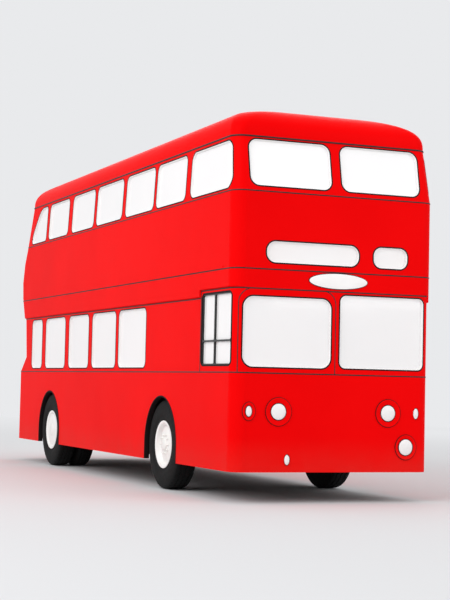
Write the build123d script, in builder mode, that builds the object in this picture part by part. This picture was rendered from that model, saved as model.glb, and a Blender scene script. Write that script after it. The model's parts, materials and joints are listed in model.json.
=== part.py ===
from build123d import *
import os

os.makedirs("parts", exist_ok=True)

# Double-decker bus, rear engine, entrance in the front overhang, driver on the offside.
# Millimetres. +Z is up from the ground, the front faces -Y, -X is the offside, +X the nearside.
# A station is a distance back from the front panel.

# Overall sizes
overall_length = 9140
overall_width = 2500
roof_height = 4450
lamp_proud = 20
rub_rail_proud = 8
lower_deck_inset = 25
wall = 60
corner_radius = 150

body_length = overall_length - 2 * lamp_proud
upper_half_width = overall_width / 2 - rub_rail_proud
lower_half_width = upper_half_width - lower_deck_inset
inner_half_width = lower_half_width - wall

# Heights above the ground
skirt_height = 340
waist_height = 1425
bustle_top = 1650
saloon_step = 2266
cab_step = 2348
deck_line = 2563
upper_waist = 3410
gutter_height = 4029
step_rise = 10

# Floors
floor_top = 680
floor_thickness = 40
upper_floor_top = 2560
upper_floor_thickness = 70
platform_top = 400
platform_thickness = 30

# Lean and shape of the upper shell
front_lean = 125
tail_tuck = 530
gutter_half_width = upper_half_width - 33
bulge_height = 2850
tuck_height = 3150

# Roof dome: squareness of its section, and how far it takes to rise at each end
roof_squareness = 2.9
front_dome = 1200
rear_dome = 1500
roof_steps = (1.0, 0.98, 0.93, 0.84, 0.7, 0.5, 0.2)

# Running gear
front_axle_station = 2275
wheelbase = 4950
tyre_radius = 540
front_tyre_width = 280
twin_tyre_width = 260
twin_gap = 40
tyre_face_inset = 32
rim_radius = 255
arch_half_length = 555
arch_rise = 585
housing_half_length = 575
housing_wall = 20
steer_offset = 45
steer_bore_clearance = 0.3
kingpin_radius = 20
stub_radius = 30
rear_stub_radius = 40

# Chassis
rail_x = 420
rail_width = 80
rail_bottom = 500
rail_top = floor_top - floor_thickness
beam_top = 440
beam_drop = 90
beam_half_depth = 45
bulkhead_station = body_length - 680
bulkhead_thickness = 30

# Windows
side_pane_radius = 75
front_pane_radius = 60
lower_pane_low, lower_pane_high = 1471, 2226
upper_pane_low, upper_pane_high = 3443, 3984
front_upper_low, front_upper_high = 3469, 3998
glass_inset, glass_thickness = 26, 6

# Cab
cab_end = 1000
cab_pane_start, cab_pane_end = 100, 977
cab_pane_low, cab_pane_high = 1492, 2308

# Entrance doors
doorway_start = 270
doorway_width = 1200
doorway_high = 2190
leaf_thickness = 35
leaf_setback = 10
leaf_gap = 10
jamb_gap = 14
leaf_end_gap = 8
knuckle_radius = 8
knuckle_length = 60
knuckle_gap = 0.3
knuckle_room = 1.5

# Lids
lid_gap = 6
cover_half_width = 900
cover_low, cover_high = 400, 1610
cover_thickness = 40
exit_half_width = 520
exit_low, exit_high = 3440, 3985
exit_frame = 60

front_y = -body_length / 2
rear_axle_station = front_axle_station + wheelbase


def at(station):
    """Y of a station."""
    return front_y + station


def body_rows(step):
    """Sections of the body: height, lean of the front, tuck of the rear, half width."""
    return [
        (skirt_height, 0, 0, lower_half_width),
        (waist_height, 0, 0, lower_half_width),
        (bustle_top, 0, 320, lower_half_width),
        (step, 0, 240, lower_half_width),
        (step + step_rise, 0, 237, upper_half_width),
        (2600, 0, 100, upper_half_width),
        (bulge_height, 0, 70, upper_half_width),
        (tuck_height, 0, 160, upper_half_width),
        (upper_waist, 0, 330, upper_half_width),
        (gutter_height, front_lean, tail_tuck, gutter_half_width),
    ]


def value_at(rows, height, column):
    """A column of the section table, read between its rows."""
    for lower, upper in zip(rows, rows[1:]):
        if lower[0] <= height <= upper[0]:
            share = (height - lower[0]) / (upper[0] - lower[0])
            return lower[column] + share * (upper[column] - lower[column])
    return rows[-1][column]


def section_block(rows, inset):
    """A solid through rounded rectangles: height, front station, rear station, half width, radius."""
    with BuildPart() as block:
        for height, start, end, half_width, radius in rows:
            with BuildSketch(Plane.XY.offset(height)):
                with Locations((0, at((start + end) / 2))):
                    RectangleRounded(
                        2 * (half_width - inset), end - start - 2 * inset, radius - inset
                    )
        loft(ruled=True)
    return block.part


def body_block(rows, inset):
    """The body's outer skin moved in by an inset, as one solid."""
    return section_block(
        [(z, lean, body_length - tuck, half, corner_radius) for z, lean, tuck, half in rows], inset
    )


def roof_rows(inset):
    """Sections of the roof dome, on a superellipse, for its outside or moved in by an inset."""
    rise = roof_height - gutter_height - inset
    rows = []
    for width_share in roof_steps:
        height_share = (1 - width_share**roof_squareness) ** (1 / roof_squareness)
        start = front_lean + inset + front_dome * (1 - width_share)
        end = body_length - tail_tuck - inset - rear_dome * (1 - width_share)
        half_width = (gutter_half_width - inset) * width_share
        radius = min(corner_radius - inset + 500 * (1 - width_share), 0.9 * half_width)
        rows.append((gutter_height + rise * height_share, start, end, half_width, radius))
    return rows


saloon_rows = body_rows(saloon_step)
cab_rows = body_rows(cab_step)
saloon_outside = body_block(saloon_rows, 0)
saloon_inside = body_block(saloon_rows, wall)
cab_outside = body_block(cab_rows, 0)
cab_inside = body_block(cab_rows, wall)

with BuildPart() as saloon_shell:
    add(saloon_outside)
    add(saloon_inside, mode=Mode.SUBTRACT)

with BuildPart() as cab_shell:
    add(cab_outside)
    add(cab_inside, mode=Mode.SUBTRACT)

with BuildPart() as saloon_pane_layer:
    add(body_block(saloon_rows, glass_inset))
    add(body_block(saloon_rows, glass_inset + glass_thickness), mode=Mode.SUBTRACT)

with BuildPart() as cab_pane_layer:
    add(body_block(cab_rows, glass_inset))
    add(body_block(cab_rows, glass_inset + glass_thickness), mode=Mode.SUBTRACT)


def wall_line(low, high, front_side):
    """Points up the inner face of the front or rear wall, as (Y, Z)."""
    heights = [low] + [row[0] for row in saloon_rows if low < row[0] < high] + [high]
    if front_side:
        return [(at(value_at(saloon_rows, z, 1) + wall), z) for z in heights]
    return [(at(body_length - value_at(saloon_rows, z, 2) - wall), z) for z in heights]


def outline(points):
    """A face on the YZ plane through (Y, Z) points, facing +X whichever way they run."""
    turn = sum(a[0] * b[1] - b[0] * a[1] for a, b in zip(points, points[1:] + points[:1]))
    if turn < 0:
        points = points[::-1]
    with BuildSketch(Plane.YZ) as face:
        with BuildLine():
            Polyline(*points, close=True)
        make_face()
    return face.sketch


front_slab_low = outline(
    wall_line(skirt_height, deck_line, True)
    + [(at(-wall), deck_line), (at(-wall), skirt_height)]
)
front_slab_high = outline(
    wall_line(deck_line, gutter_height, True)
    + [(at(-wall), gutter_height), (at(-wall), deck_line)]
)


def rear_slab(low, high):
    """The rear wall between two heights."""
    return outline(
        wall_line(low, high, False) + [(at(body_length + wall), high), (at(body_length + wall), low)]
    )


bustle_region = outline(
    [
        (at(bulkhead_station), skirt_height),
        (at(body_length + wall), skirt_height),
        (at(body_length + wall), bustle_top),
        (at(bulkhead_station), bustle_top),
    ]
)
upper_side_region = outline(
    wall_line(deck_line, gutter_height, True) + wall_line(deck_line, gutter_height, False)[::-1]
)


def lower_side_region(start):
    """The lower side wall from a station back to the bustle and the rear wall."""
    return outline(
        [
            (at(start), skirt_height),
            (at(bulkhead_station), skirt_height),
            (at(bulkhead_station), bustle_top),
        ]
        + wall_line(bustle_top, deck_line, False)
        + [(at(start), deck_line)]
    )


# Side windows of both decks: start and end stations
lower_side_panes = ((2880, 3970), (4090, 5140), (5305, 6275), (6470, 7525), (7730, 8320))
nearside_front_pane = ((1640, 2740),)
upper_side_panes = ((1540, 2570), (2660, 3765), (3900, 5035), (5155, 6225), (6420, 7460))
# First upper window, whose front edge leans with the front: station, height
first_pane = ((100, upper_pane_low), (1385, upper_pane_low), (1385, upper_pane_high),
              (205, upper_pane_high))
# Last upper window, whose rear edge follows the tail: station, height
last_pane = ((7600, upper_pane_low), (8440, upper_pane_low), (8390, 3600), (8000, upper_pane_high),
             (7600, upper_pane_high))


def side_panes(rows, low, high, radius):
    """Rounded side windows on the YZ plane."""
    with BuildSketch(Plane.YZ) as panes:
        for start, end in rows:
            with Locations((at((start + end) / 2), (low + high) / 2)):
                RectangleRounded(end - start, high - low, radius)
    return panes.sketch


def front_panes(rows):
    """Rounded windows on the XZ plane: left, right, bottom, top, corner radius."""
    with BuildSketch(Plane.XZ) as panes:
        for left, right, low, high, radius in rows:
            with Locations(((left + right) / 2, (low + high) / 2)):
                RectangleRounded(right - left, high - low, radius)
    return panes.sketch


with BuildSketch(Plane.YZ) as end_panes:
    for corners in (first_pane, last_pane):
        with BuildLine():
            Polyline(*[(at(station), height) for station, height in corners], close=True)
        make_face()
    fillet(end_panes.vertices(), side_pane_radius * 0.8)

# Windscreens, displays and upper front windows: left, right, bottom, top, corner radius
windscreens = (
    (-1119, -51, 1481, 2257, 120),
    (51, 1119, 1488, 2307, front_pane_radius),
)
displays = ((-856, 282, 2628, 2869, 110), (460, 898, 2628, 2869, 100))
upper_front_panes = (
    (-1055, -61, front_upper_low, front_upper_high, front_pane_radius),
    (61, 1055, front_upper_low, front_upper_high, front_pane_radius),
)
rear_lower_pane = ((-700, 700, 1740, 2190, 90),)
exit_opening = ((-exit_half_width, exit_half_width, exit_low, exit_high, 70),)
side_cut_start = upper_half_width - 150
end_cut_depth = 400


def side_prisms(sketch, direction):
    """A side window sketch, as prisms through one side wall."""
    with BuildPart() as prisms:
        extrude(sketch, amount=direction * overall_width)
        with Locations((direction * (side_cut_start - overall_width) / 2, 0, roof_height / 2)):
            Box(side_cut_start + overall_width, 2 * overall_length, 2 * roof_height,
                mode=Mode.SUBTRACT)
    return prisms.part


def end_prisms(sketch, front_side):
    """An end window sketch, as prisms through the front or the rear wall."""
    with BuildPart() as prisms:
        extrude(sketch, amount=body_length if front_side else -body_length)
        limit = at(end_cut_depth) if front_side else at(body_length - 3 * end_cut_depth)
        reach = overall_length
        with Locations((0, limit + (reach if front_side else -reach) / 2, roof_height / 2)):
            Box(2 * overall_width, reach, 2 * roof_height, mode=Mode.SUBTRACT)
    return prisms.part


lower_panes = side_panes(lower_side_panes, lower_pane_low, lower_pane_high, side_pane_radius)
door_side_panes = side_panes(nearside_front_pane, lower_pane_low, lower_pane_high, side_pane_radius)
upper_panes = side_panes(upper_side_panes, upper_pane_low, upper_pane_high, side_pane_radius)
cab_pane = side_panes(((cab_pane_start, cab_pane_end),), cab_pane_low, cab_pane_high, 60)

with BuildPart() as upper_openings:
    for direction in (-1, 1):
        add(side_prisms(upper_panes, direction))
        add(side_prisms(end_panes.sketch, direction))
    add(end_prisms(front_panes(upper_front_panes), True))

with BuildPart() as lower_saloon_openings:
    for direction in (-1, 1):
        add(side_prisms(lower_panes, direction))
    add(side_prisms(door_side_panes, 1))
    add(end_prisms(front_panes(rear_lower_pane), False))

with BuildPart() as cab_openings:
    add(side_prisms(cab_pane, -1))
    add(end_prisms(front_panes(windscreens), True))

display_openings = end_prisms(front_panes(displays), True)
exit_prism = end_prisms(front_panes(exit_opening), False)

# Wheel arches in the side walls
with BuildSketch(Plane.YZ) as arches:
    for station in (front_axle_station, rear_axle_station):
        with Locations((at(station), tyre_radius)):
            Ellipse(arch_half_length, arch_rise)
        with Locations((at(station), tyre_radius / 2)):
            Rectangle(2 * arch_half_length, tyre_radius)

doorway_end = doorway_start + doorway_width
with BuildSketch(Plane.YZ) as doorway:
    with Locations((at((doorway_start + doorway_end) / 2), (platform_top + doorway_high) / 2)):
        Rectangle(doorway_width, doorway_high - platform_top)


def save(piece, label):
    """Label a finished part and write it."""
    piece.part.label = label
    export_step(piece.part, f"parts/{label}.step")


# Lower body panels
with BuildPart() as lower_side_offside:
    add(saloon_shell.part)
    extrude(lower_side_region(cab_end), amount=-overall_width, mode=Mode.INTERSECT)
    add(lower_saloon_openings.part, mode=Mode.SUBTRACT)
    extrude(arches.sketch, amount=-overall_width, mode=Mode.SUBTRACT)
save(lower_side_offside, "lower_side_offside")

with BuildPart() as lower_side_nearside:
    add(saloon_shell.part)
    extrude(lower_side_region(wall), amount=overall_width, mode=Mode.INTERSECT)
    add(lower_saloon_openings.part, mode=Mode.SUBTRACT)
    extrude(arches.sketch, amount=overall_width, mode=Mode.SUBTRACT)
    extrude(doorway.sketch, amount=overall_width, mode=Mode.SUBTRACT)
save(lower_side_nearside, "lower_side_nearside")

with BuildPart() as lower_front:
    add(cab_outside)
    extrude(front_slab_low, amount=overall_width, both=True, mode=Mode.INTERSECT)
    add(cab_openings.part, mode=Mode.SUBTRACT)
save(lower_front, "lower_front")

with BuildSketch(Plane.YZ) as cab_region:
    with Locations((at((wall + cab_end) / 2), (skirt_height + deck_line) / 2)):
        Rectangle(cab_end - wall, deck_line - skirt_height)

with BuildPart() as cab_side:
    add(cab_shell.part)
    extrude(cab_region.sketch, amount=-overall_width, mode=Mode.INTERSECT)
    add(cab_openings.part, mode=Mode.SUBTRACT)
save(cab_side, "cab_side")

# Upper body panels, with the rub rail along the deck line
rub_rail_height = 25
rub_rail_start, rub_rail_end = 300, body_length - 320
for side, direction in (("offside", -1), ("nearside", 1)):
    with BuildPart() as upper_side:
        add(saloon_shell.part)
        extrude(upper_side_region, amount=direction * overall_width, mode=Mode.INTERSECT)
        add(upper_openings.part, mode=Mode.SUBTRACT)
        with Locations((
            direction * (overall_width / 2 - rub_rail_proud / 2 - 2),
            at((rub_rail_start + rub_rail_end) / 2),
            deck_line + rub_rail_height / 2,
        )):
            Box(rub_rail_proud + 4, rub_rail_end - rub_rail_start, rub_rail_height)
    save(upper_side, f"upper_side_{side}")

with BuildPart() as upper_front:
    add(saloon_outside)
    extrude(front_slab_high, amount=overall_width, both=True, mode=Mode.INTERSECT)
    add(upper_openings.part, mode=Mode.SUBTRACT)
    add(display_openings, mode=Mode.SUBTRACT)
save(upper_front, "upper_front")

exit_axis_z = exit_high - lid_gap / 2
exit_axis_y = at(body_length - value_at(saloon_rows, exit_axis_z, 2))
cover_axis_z = cover_high - lid_gap / 2
cover_axis_y = at(body_length - value_at(saloon_rows, cover_axis_z, 2))


def hinge_barrels(centres, fixed, axis_y, axis_z):
    """Barrels along X for a lid's hinge: the fixed pair or the moving middle, as (barrels, room)."""
    pitch = knuckle_length + knuckle_gap
    own = (-pitch, pitch) if fixed else (0,)
    other = (0,) if fixed else (-pitch, pitch)
    parts = []
    for offsets, radius, length in (
        (own, knuckle_radius, knuckle_length),
        (other, knuckle_radius + knuckle_room, knuckle_length + 2 * knuckle_gap),
    ):
        with BuildPart() as row:
            for centre in centres:
                with Locations(*[(centre + offset, axis_y, axis_z) for offset in offsets]):
                    Cylinder(radius, length, rotation=(0, 90, 0))
        parts.append(row.part)
    return parts


exit_hinges = (-300, 300)
cover_hinges = (-600, 0, 600)
exit_fixed, exit_moving_room = hinge_barrels(exit_hinges, True, exit_axis_y, exit_axis_z)
exit_moving, exit_fixed_room = hinge_barrels(exit_hinges, False, exit_axis_y, exit_axis_z)
cover_fixed, cover_moving_room = hinge_barrels(cover_hinges, True, cover_axis_y, cover_axis_z)
cover_moving, cover_fixed_room = hinge_barrels(cover_hinges, False, cover_axis_y, cover_axis_z)

with BuildPart() as lower_rear:
    add(saloon_outside)
    extrude(rear_slab(bustle_top, deck_line), amount=overall_width, both=True, mode=Mode.INTERSECT)
    add(lower_saloon_openings.part, mode=Mode.SUBTRACT)
save(lower_rear, "lower_rear")

with BuildPart() as upper_rear:
    add(saloon_outside)
    extrude(rear_slab(deck_line, gutter_height), amount=overall_width, both=True,
            mode=Mode.INTERSECT)
    add(exit_prism, mode=Mode.SUBTRACT)
    add(exit_fixed)
    add(exit_moving_room, mode=Mode.SUBTRACT)
save(upper_rear, "upper_rear")

with BuildPart() as roof:
    add(section_block(roof_rows(0), 0))
    add(section_block(roof_rows(wall), 0), mode=Mode.SUBTRACT)
save(roof, "roof")

# Engine bay at the rear: its fixed surround and the lid that lifts
with BuildPart() as engine_bay:
    add(saloon_shell.part)
    extrude(bustle_region, amount=overall_width, both=True, mode=Mode.INTERSECT)
    with Locations((0, at(body_length), (cover_low + cover_high) / 2)):
        Box(2 * cover_half_width, 800, cover_high - cover_low, mode=Mode.SUBTRACT)
    add(cover_fixed)
    add(cover_moving_room, mode=Mode.SUBTRACT)
save(engine_bay, "engine_bay")

with BuildPart() as engine_cover:
    add(saloon_outside)
    add(body_block(saloon_rows, cover_thickness), mode=Mode.SUBTRACT)
    with Locations((0, at(body_length), (cover_low + cover_high) / 2)):
        Box(2 * (cover_half_width - lid_gap), 700, cover_high - cover_low - 2 * lid_gap,
            mode=Mode.INTERSECT)
    add(cover_moving)
    add(cover_fixed_room, mode=Mode.SUBTRACT)
save(engine_cover, "engine_cover")

# Emergency exit in the rear of the upper deck
exit_lid_rows = ((-exit_half_width + lid_gap, exit_half_width - lid_gap,
                  exit_low + lid_gap, exit_high - lid_gap, 64),)
exit_glass_rows = ((-exit_half_width + exit_frame, exit_half_width - exit_frame,
                    exit_low + exit_frame, exit_high - exit_frame, 50),)
exit_lid_prism = end_prisms(front_panes(exit_lid_rows), False)
exit_glass_prism = end_prisms(front_panes(exit_glass_rows), False)

with BuildPart() as emergency_window:
    add(saloon_shell.part)
    add(exit_lid_prism, mode=Mode.INTERSECT)
    add(exit_glass_prism, mode=Mode.SUBTRACT)
    add(exit_moving)
    add(exit_fixed_room, mode=Mode.SUBTRACT)
save(emergency_window, "emergency_window")

with BuildPart() as emergency_glass:
    add(saloon_pane_layer.part)
    add(exit_glass_prism, mode=Mode.INTERSECT)
save(emergency_glass, "emergency_glass")

# Fixed glass
with BuildPart() as glass_upper_deck:
    add(saloon_pane_layer.part)
    add(upper_openings.part, mode=Mode.INTERSECT)
save(glass_upper_deck, "glass_upper_deck")

with BuildPart() as glass_lower_deck:
    add(saloon_pane_layer.part)
    add(lower_saloon_openings.part, mode=Mode.INTERSECT)
save(glass_lower_deck, "glass_lower_deck")

with BuildPart() as glass_cab:
    add(cab_pane_layer.part)
    add(cab_openings.part, mode=Mode.INTERSECT)
save(glass_cab, "glass_cab")

# Frame and glazing bars of the cab's side window
frame_width = 22
bar_width = 20
frame_outset = 4
bar_station = cab_pane_end - 0.44 * (cab_pane_end - cab_pane_start)
bar_height = cab_pane_low + 0.34 * (cab_pane_high - cab_pane_low)
# The four lights between the bars: start, end, bottom, top
cab_lights = (
    (cab_pane_start + frame_width, bar_station - bar_width / 2,
     cab_pane_low + frame_width, bar_height - bar_width / 2),
    (bar_station + bar_width / 2, cab_pane_end - frame_width,
     cab_pane_low + frame_width, bar_height - bar_width / 2),
    (cab_pane_start + frame_width, bar_station - bar_width / 2,
     bar_height + bar_width / 2, cab_pane_high - frame_width),
    (bar_station + bar_width / 2, cab_pane_end - frame_width,
     bar_height + bar_width / 2, cab_pane_high - frame_width),
)
with BuildSketch(Plane.YZ) as cab_lights_sketch:
    for start, end, low, high in cab_lights:
        with Locations((at((start + end) / 2), (low + high) / 2)):
            RectangleRounded(end - start, high - low, 20)

with BuildPart() as cab_window_frame:
    add(body_block(cab_rows, frame_outset))
    add(body_block(cab_rows, glass_inset), mode=Mode.SUBTRACT)
    add(side_prisms(cab_pane, -1), mode=Mode.INTERSECT)
    add(side_prisms(cab_lights_sketch.sketch, -1), mode=Mode.SUBTRACT)
save(cab_window_frame, "cab_window_frame")

# Panes of the destination and route displays, and the oval plate under them
oval_x, oval_height, oval_width, oval_depth = 25, 2457, 715, 165
plate_proud = 8
with BuildPart() as display_glass:
    add(saloon_pane_layer.part)
    add(display_openings, mode=Mode.INTERSECT)
    with BuildSketch(Plane.XZ.offset(-front_y)):
        with Locations((oval_x, oval_height)):
            Ellipse(oval_width / 2, oval_depth / 2)
    extrude(amount=plate_proud)
save(display_glass, "display_glass")

# Lamps: centre x, height, half width, half height, lens half width, lens half height
front_lamp_rows = (
    (-676, 1000, 155, 155, 92, 92),
    (676, 1000, 155, 155, 92, 92),
    (-1030, 1000, 77, 100, 38, 60),
    (1030, 1000, 40, 70, 34, 62),
    (907, 620, 133, 140, 90, 93),
    (-566, 476, 40, 65, 34, 58),
)
bezel_proud = 12
with BuildPart() as front_lamps:
    for x, height, half_width, half_height, lens_half, lens_rise in front_lamp_rows:
        with BuildSketch(Plane.XZ.offset(-front_y)):
            with Locations((x, height)):
                Ellipse(half_width, half_height) if half_width != half_height else Circle(half_width)
        extrude(amount=bezel_proud)
        with BuildSketch(Plane.XZ.offset(-front_y)):
            with Locations((x, height)):
                Ellipse(lens_half, lens_rise) if lens_half != lens_rise else Circle(lens_half)
        extrude(amount=lamp_proud)
save(front_lamps, "front_lamps")

rear_lamp_x = 985
rear_lamp_heights = (820, 950, 1080)
rear_lamp_radius = 48
with BuildPart() as rear_lamps:
    with BuildSketch(Plane.XZ.offset(-at(body_length))):
        with Locations(*[(x, z) for x in (-rear_lamp_x, rear_lamp_x) for z in rear_lamp_heights]):
            Circle(rear_lamp_radius)
    extrude(amount=-lamp_proud)
save(rear_lamps, "rear_lamps")

# Floors. The lower floor carries the entrance platform, and is cut out for the wheel housings.
platform_x = rail_x + rail_width / 2 + 10
platform_end = doorway_end + 30
step_wall = 20
housing_top = tyre_radius + arch_rise + 5
front_housing_x = 570
rear_housing_x = 550
# Station, side and inner face of each wheel housing
housing_rows = (
    (front_axle_station, -1, front_housing_x),
    (front_axle_station, 1, front_housing_x),
    (rear_axle_station, -1, rear_housing_x),
    (rear_axle_station, 1, rear_housing_x),
)
floor_low = floor_top - floor_thickness

with BuildPart() as floor_lower:
    with Locations((0, at(bulkhead_station / 2), floor_top - floor_thickness / 2)):
        Box(overall_width, bulkhead_station, floor_thickness)
    with Locations((platform_x + overall_width / 2, at(platform_end / 2), floor_top)):
        Box(overall_width, platform_end, 2 * floor_thickness, mode=Mode.SUBTRACT)
    with Locations((platform_x + overall_width / 2, at((platform_end + step_wall) / 2),
                    (platform_top - platform_thickness + floor_top) / 2)):
        Box(overall_width, platform_end + step_wall, floor_top - platform_top + platform_thickness)
    with Locations((platform_x + step_wall + overall_width / 2, at(platform_end / 2),
                    (platform_top + floor_top) / 2)):
        Box(overall_width, platform_end, floor_top - platform_top, mode=Mode.SUBTRACT)
    for station, direction, inner_x in housing_rows:
        with Locations((direction * (inner_x - housing_wall + overall_width / 2), at(station),
                        floor_top)):
            Box(overall_width, 2 * (housing_half_length + housing_wall), 4 * floor_thickness,
                mode=Mode.SUBTRACT)
    add(saloon_inside, mode=Mode.INTERSECT)
save(floor_lower, "floor_lower")

with BuildPart() as wheel_housings:
    for station, direction, inner_x in housing_rows:
        with Locations((direction * (inner_x - housing_wall + overall_width / 2), at(station),
                        (floor_low + housing_top + housing_wall) / 2)):
            Box(overall_width, 2 * (housing_half_length + housing_wall),
                housing_top + housing_wall - floor_low)
    for station, direction, inner_x in housing_rows:
        with Locations((direction * (inner_x + overall_width / 2), at(station), housing_top / 2)):
            Box(overall_width, 2 * housing_half_length, housing_top, mode=Mode.SUBTRACT)
    add(saloon_inside, mode=Mode.INTERSECT)
save(wheel_housings, "wheel_housings")

# Stairs, rising to the rear behind the cab
stair_x = -560
stair_start, stair_landing, stair_tread = 1080, 360, 176
stair_count = 9
stair_plate = 40
stair_end = stair_start + stair_landing + stair_tread * (stair_count - 1)
stair_rise = (upper_floor_top - floor_top) / stair_count
stairwell_start = 1300

with BuildPart() as floor_upper:
    with Locations((0, 0, upper_floor_top - upper_floor_thickness / 2)):
        Box(overall_width, overall_length, upper_floor_thickness)
    with Locations((stair_x - overall_width / 2, at((stairwell_start + stair_end) / 2),
                    upper_floor_top)):
        Box(overall_width, stair_end - stairwell_start, 4 * upper_floor_thickness,
            mode=Mode.SUBTRACT)
    add(saloon_inside, mode=Mode.INTERSECT)
save(floor_upper, "floor_upper")

stair_top_line = [(at(stair_start), floor_top)]
stair_under_line = [(at(stair_start + stair_plate), floor_top)]
for step in range(stair_count - 1):
    nose = stair_start + (stair_landing + stair_tread * (step - 1) if step else 0)
    back = stair_start + stair_landing + stair_tread * step
    tread_z = floor_top + stair_rise * (step + 1)
    stair_top_line += [(at(nose), tread_z), (at(back), tread_z)]
    stair_under_line += [(at(nose + stair_plate), tread_z - stair_plate),
                         (at(back + stair_plate), tread_z - stair_plate)]
stair_top_line += [(at(stair_end - stair_tread), upper_floor_top)]
stair_top_line += [(at(stair_end), upper_floor_top)]
stair_under_line[-1] = (at(stair_end - stair_tread + stair_plate), stair_under_line[-1][1])
stair_under_line += [(at(stair_end - stair_tread + stair_plate), upper_floor_top - stair_plate),
                     (at(stair_end), upper_floor_top - stair_plate)]

with BuildPart() as staircase:
    extrude(outline(stair_top_line + stair_under_line[::-1]), amount=-inner_half_width)
    with Locations((stair_x / 2, 0, roof_height / 2)):
        Box(-stair_x, overall_length, roof_height, mode=Mode.SUBTRACT)
save(staircase, "staircase")

# Engine bulkhead with the shelf behind the rear seat
shelf_thickness = 40
with BuildPart() as rear_bulkhead:
    with Locations((0, at(bulkhead_station + bulkhead_thickness / 2), (floor_low + bustle_top) / 2)):
        Box(overall_width, bulkhead_thickness, bustle_top - floor_low)
    with Locations((0, at((bulkhead_station + body_length) / 2), bustle_top - shelf_thickness / 2)):
        Box(overall_width, body_length - bulkhead_station, shelf_thickness)
    add(saloon_inside, mode=Mode.INTERSECT)
save(rear_bulkhead, "rear_bulkhead")

# Cab partition, dashboard, steering wheel and driver's seat
partition_thickness = 30
partition_top = 1850
partition_x = -470
partition_front = 560
with BuildPart() as cab_partition:
    with Locations((partition_x - overall_width / 2, at(cab_end + partition_thickness / 2),
                    (floor_top + partition_top) / 2)):
        Box(overall_width, partition_thickness, partition_top - floor_top)
    with Locations((partition_x - partition_thickness / 2,
                    at((partition_front + cab_end) / 2), (floor_top + partition_top) / 2)):
        Box(partition_thickness, cab_end - partition_front, partition_top - floor_top)
    add(saloon_inside, mode=Mode.INTERSECT)
save(cab_partition, "cab_partition")

dash_clearance = 7
dash_left, dash_right = dash_clearance - inner_half_width, -80
with BuildPart() as dashboard:
    with BuildSketch(Plane.YZ.offset(dash_left)):
        with BuildLine():
            Polyline((at(wall), floor_top), (at(wall), 1380), (at(200), 1380), (at(290), 1290),
                     (at(290), 1200), (at(180), 1140), (at(180), floor_top), close=True)
        make_face()
    extrude(amount=dash_right - dash_left)
    add(cab_inside, mode=Mode.INTERSECT)
save(dashboard, "dashboard")

wheel_x, wheel_station, wheel_z = -770, 430, 1400
column_radius = 32
steer_ring_radius = 235
steer_rim_radius = 15
column_tilt = 12
hub_plane = Plane((wheel_x, at(wheel_station), wheel_z), x_dir=(1, 0, 0),
                  z_dir=Vector(0, 0, 1).rotate(Axis.X, -column_tilt))
with BuildPart() as steering_wheel:
    with BuildSketch(hub_plane):
        Circle(column_radius)
    extrude(amount=-900)
    with Locations((0, at(wheel_station), 0)):
        Box(overall_width, overall_length, 2 * floor_top, mode=Mode.SUBTRACT)
    with BuildSketch(hub_plane):
        Circle(55)
        with PolarLocations(0, 3, 90):
            with Locations((steer_ring_radius / 2, 0)):
                Rectangle(steer_ring_radius, 26)
    extrude(amount=-14)
    with BuildSketch(Plane(hub_plane.origin, x_dir=(1, 0, 0), z_dir=hub_plane.y_dir)):
        with Locations((steer_ring_radius, 7)):
            Circle(steer_rim_radius)
    revolve(axis=Axis(hub_plane.origin, hub_plane.z_dir))
save(steering_wheel, "steering_wheel")


def seat_profile(station, base):
    """A forward-facing seat: its pedestal, cushion and back, on the YZ plane."""
    y = at(station)
    return outline([
        (y + 90, base), (y + 300, base), (y + 300, base + 320), (y + 430, base + 320),
        (y + 500, base + 960), (y + 430, base + 975), (y + 360, base + 430), (y, base + 445),
        (y, base + 320), (y + 90, base + 320),
    ])


driver_seat_width, driver_seat_station = 460, 470
with BuildPart() as driver_seat:
    extrude(seat_profile(driver_seat_station, floor_top), amount=-overall_width)
    with Locations((wheel_x, 0, roof_height / 2)):
        Box(driver_seat_width, overall_length, roof_height, mode=Mode.INTERSECT)
save(driver_seat, "driver_seat")

# Passenger seats: stations of the cushions' front edges
aisle_half_width = 270
seat_outer_x = inner_half_width - 6
lower_rows = (3120, 3870, 4620, 5370)
upper_rows = (480, 1230, 1980, 2950, 3700, 4450, 5200, 5950, 6700, 7450)
bench_cushion = 90
bench_back_height = 520
with BuildPart() as seats_lower:
    for station in lower_rows:
        extrude(seat_profile(station, floor_top), amount=seat_outer_x, both=True)
    with Locations((0, 0, roof_height / 2)):
        Box(2 * aisle_half_width, overall_length, roof_height, mode=Mode.SUBTRACT)
save(seats_lower, "seats_lower")

with BuildPart() as bench_seats:
    for station, direction, inner_x in housing_rows[1:]:
        with Locations((direction * (inner_x + seat_outer_x) / 2, at(station),
                        housing_top + housing_wall + bench_cushion / 2)):
            Box(seat_outer_x - inner_x, 2 * housing_half_length - 40, bench_cushion)
        with Locations((direction * (seat_outer_x - 35), at(station),
                        housing_top + housing_wall + bench_back_height / 2)):
            Box(70, 2 * housing_half_length - 40, bench_back_height)
    extrude(seat_profile(bulkhead_station - 515, floor_top), amount=seat_outer_x, both=True)
save(bench_seats, "bench_seats")

with BuildPart() as seats_upper:
    for station in upper_rows:
        extrude(seat_profile(station, upper_floor_top), amount=seat_outer_x, both=True)
    with Locations((0, 0, roof_height / 2)):
        Box(2 * aisle_half_width, overall_length, roof_height, mode=Mode.SUBTRACT)
    with Locations((-overall_width / 2, at((stairwell_start + stair_end) / 2 - 60), roof_height / 2)):
        Box(overall_width, stair_end - stairwell_start + 180, roof_height, mode=Mode.SUBTRACT)
save(seats_upper, "seats_upper")

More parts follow.
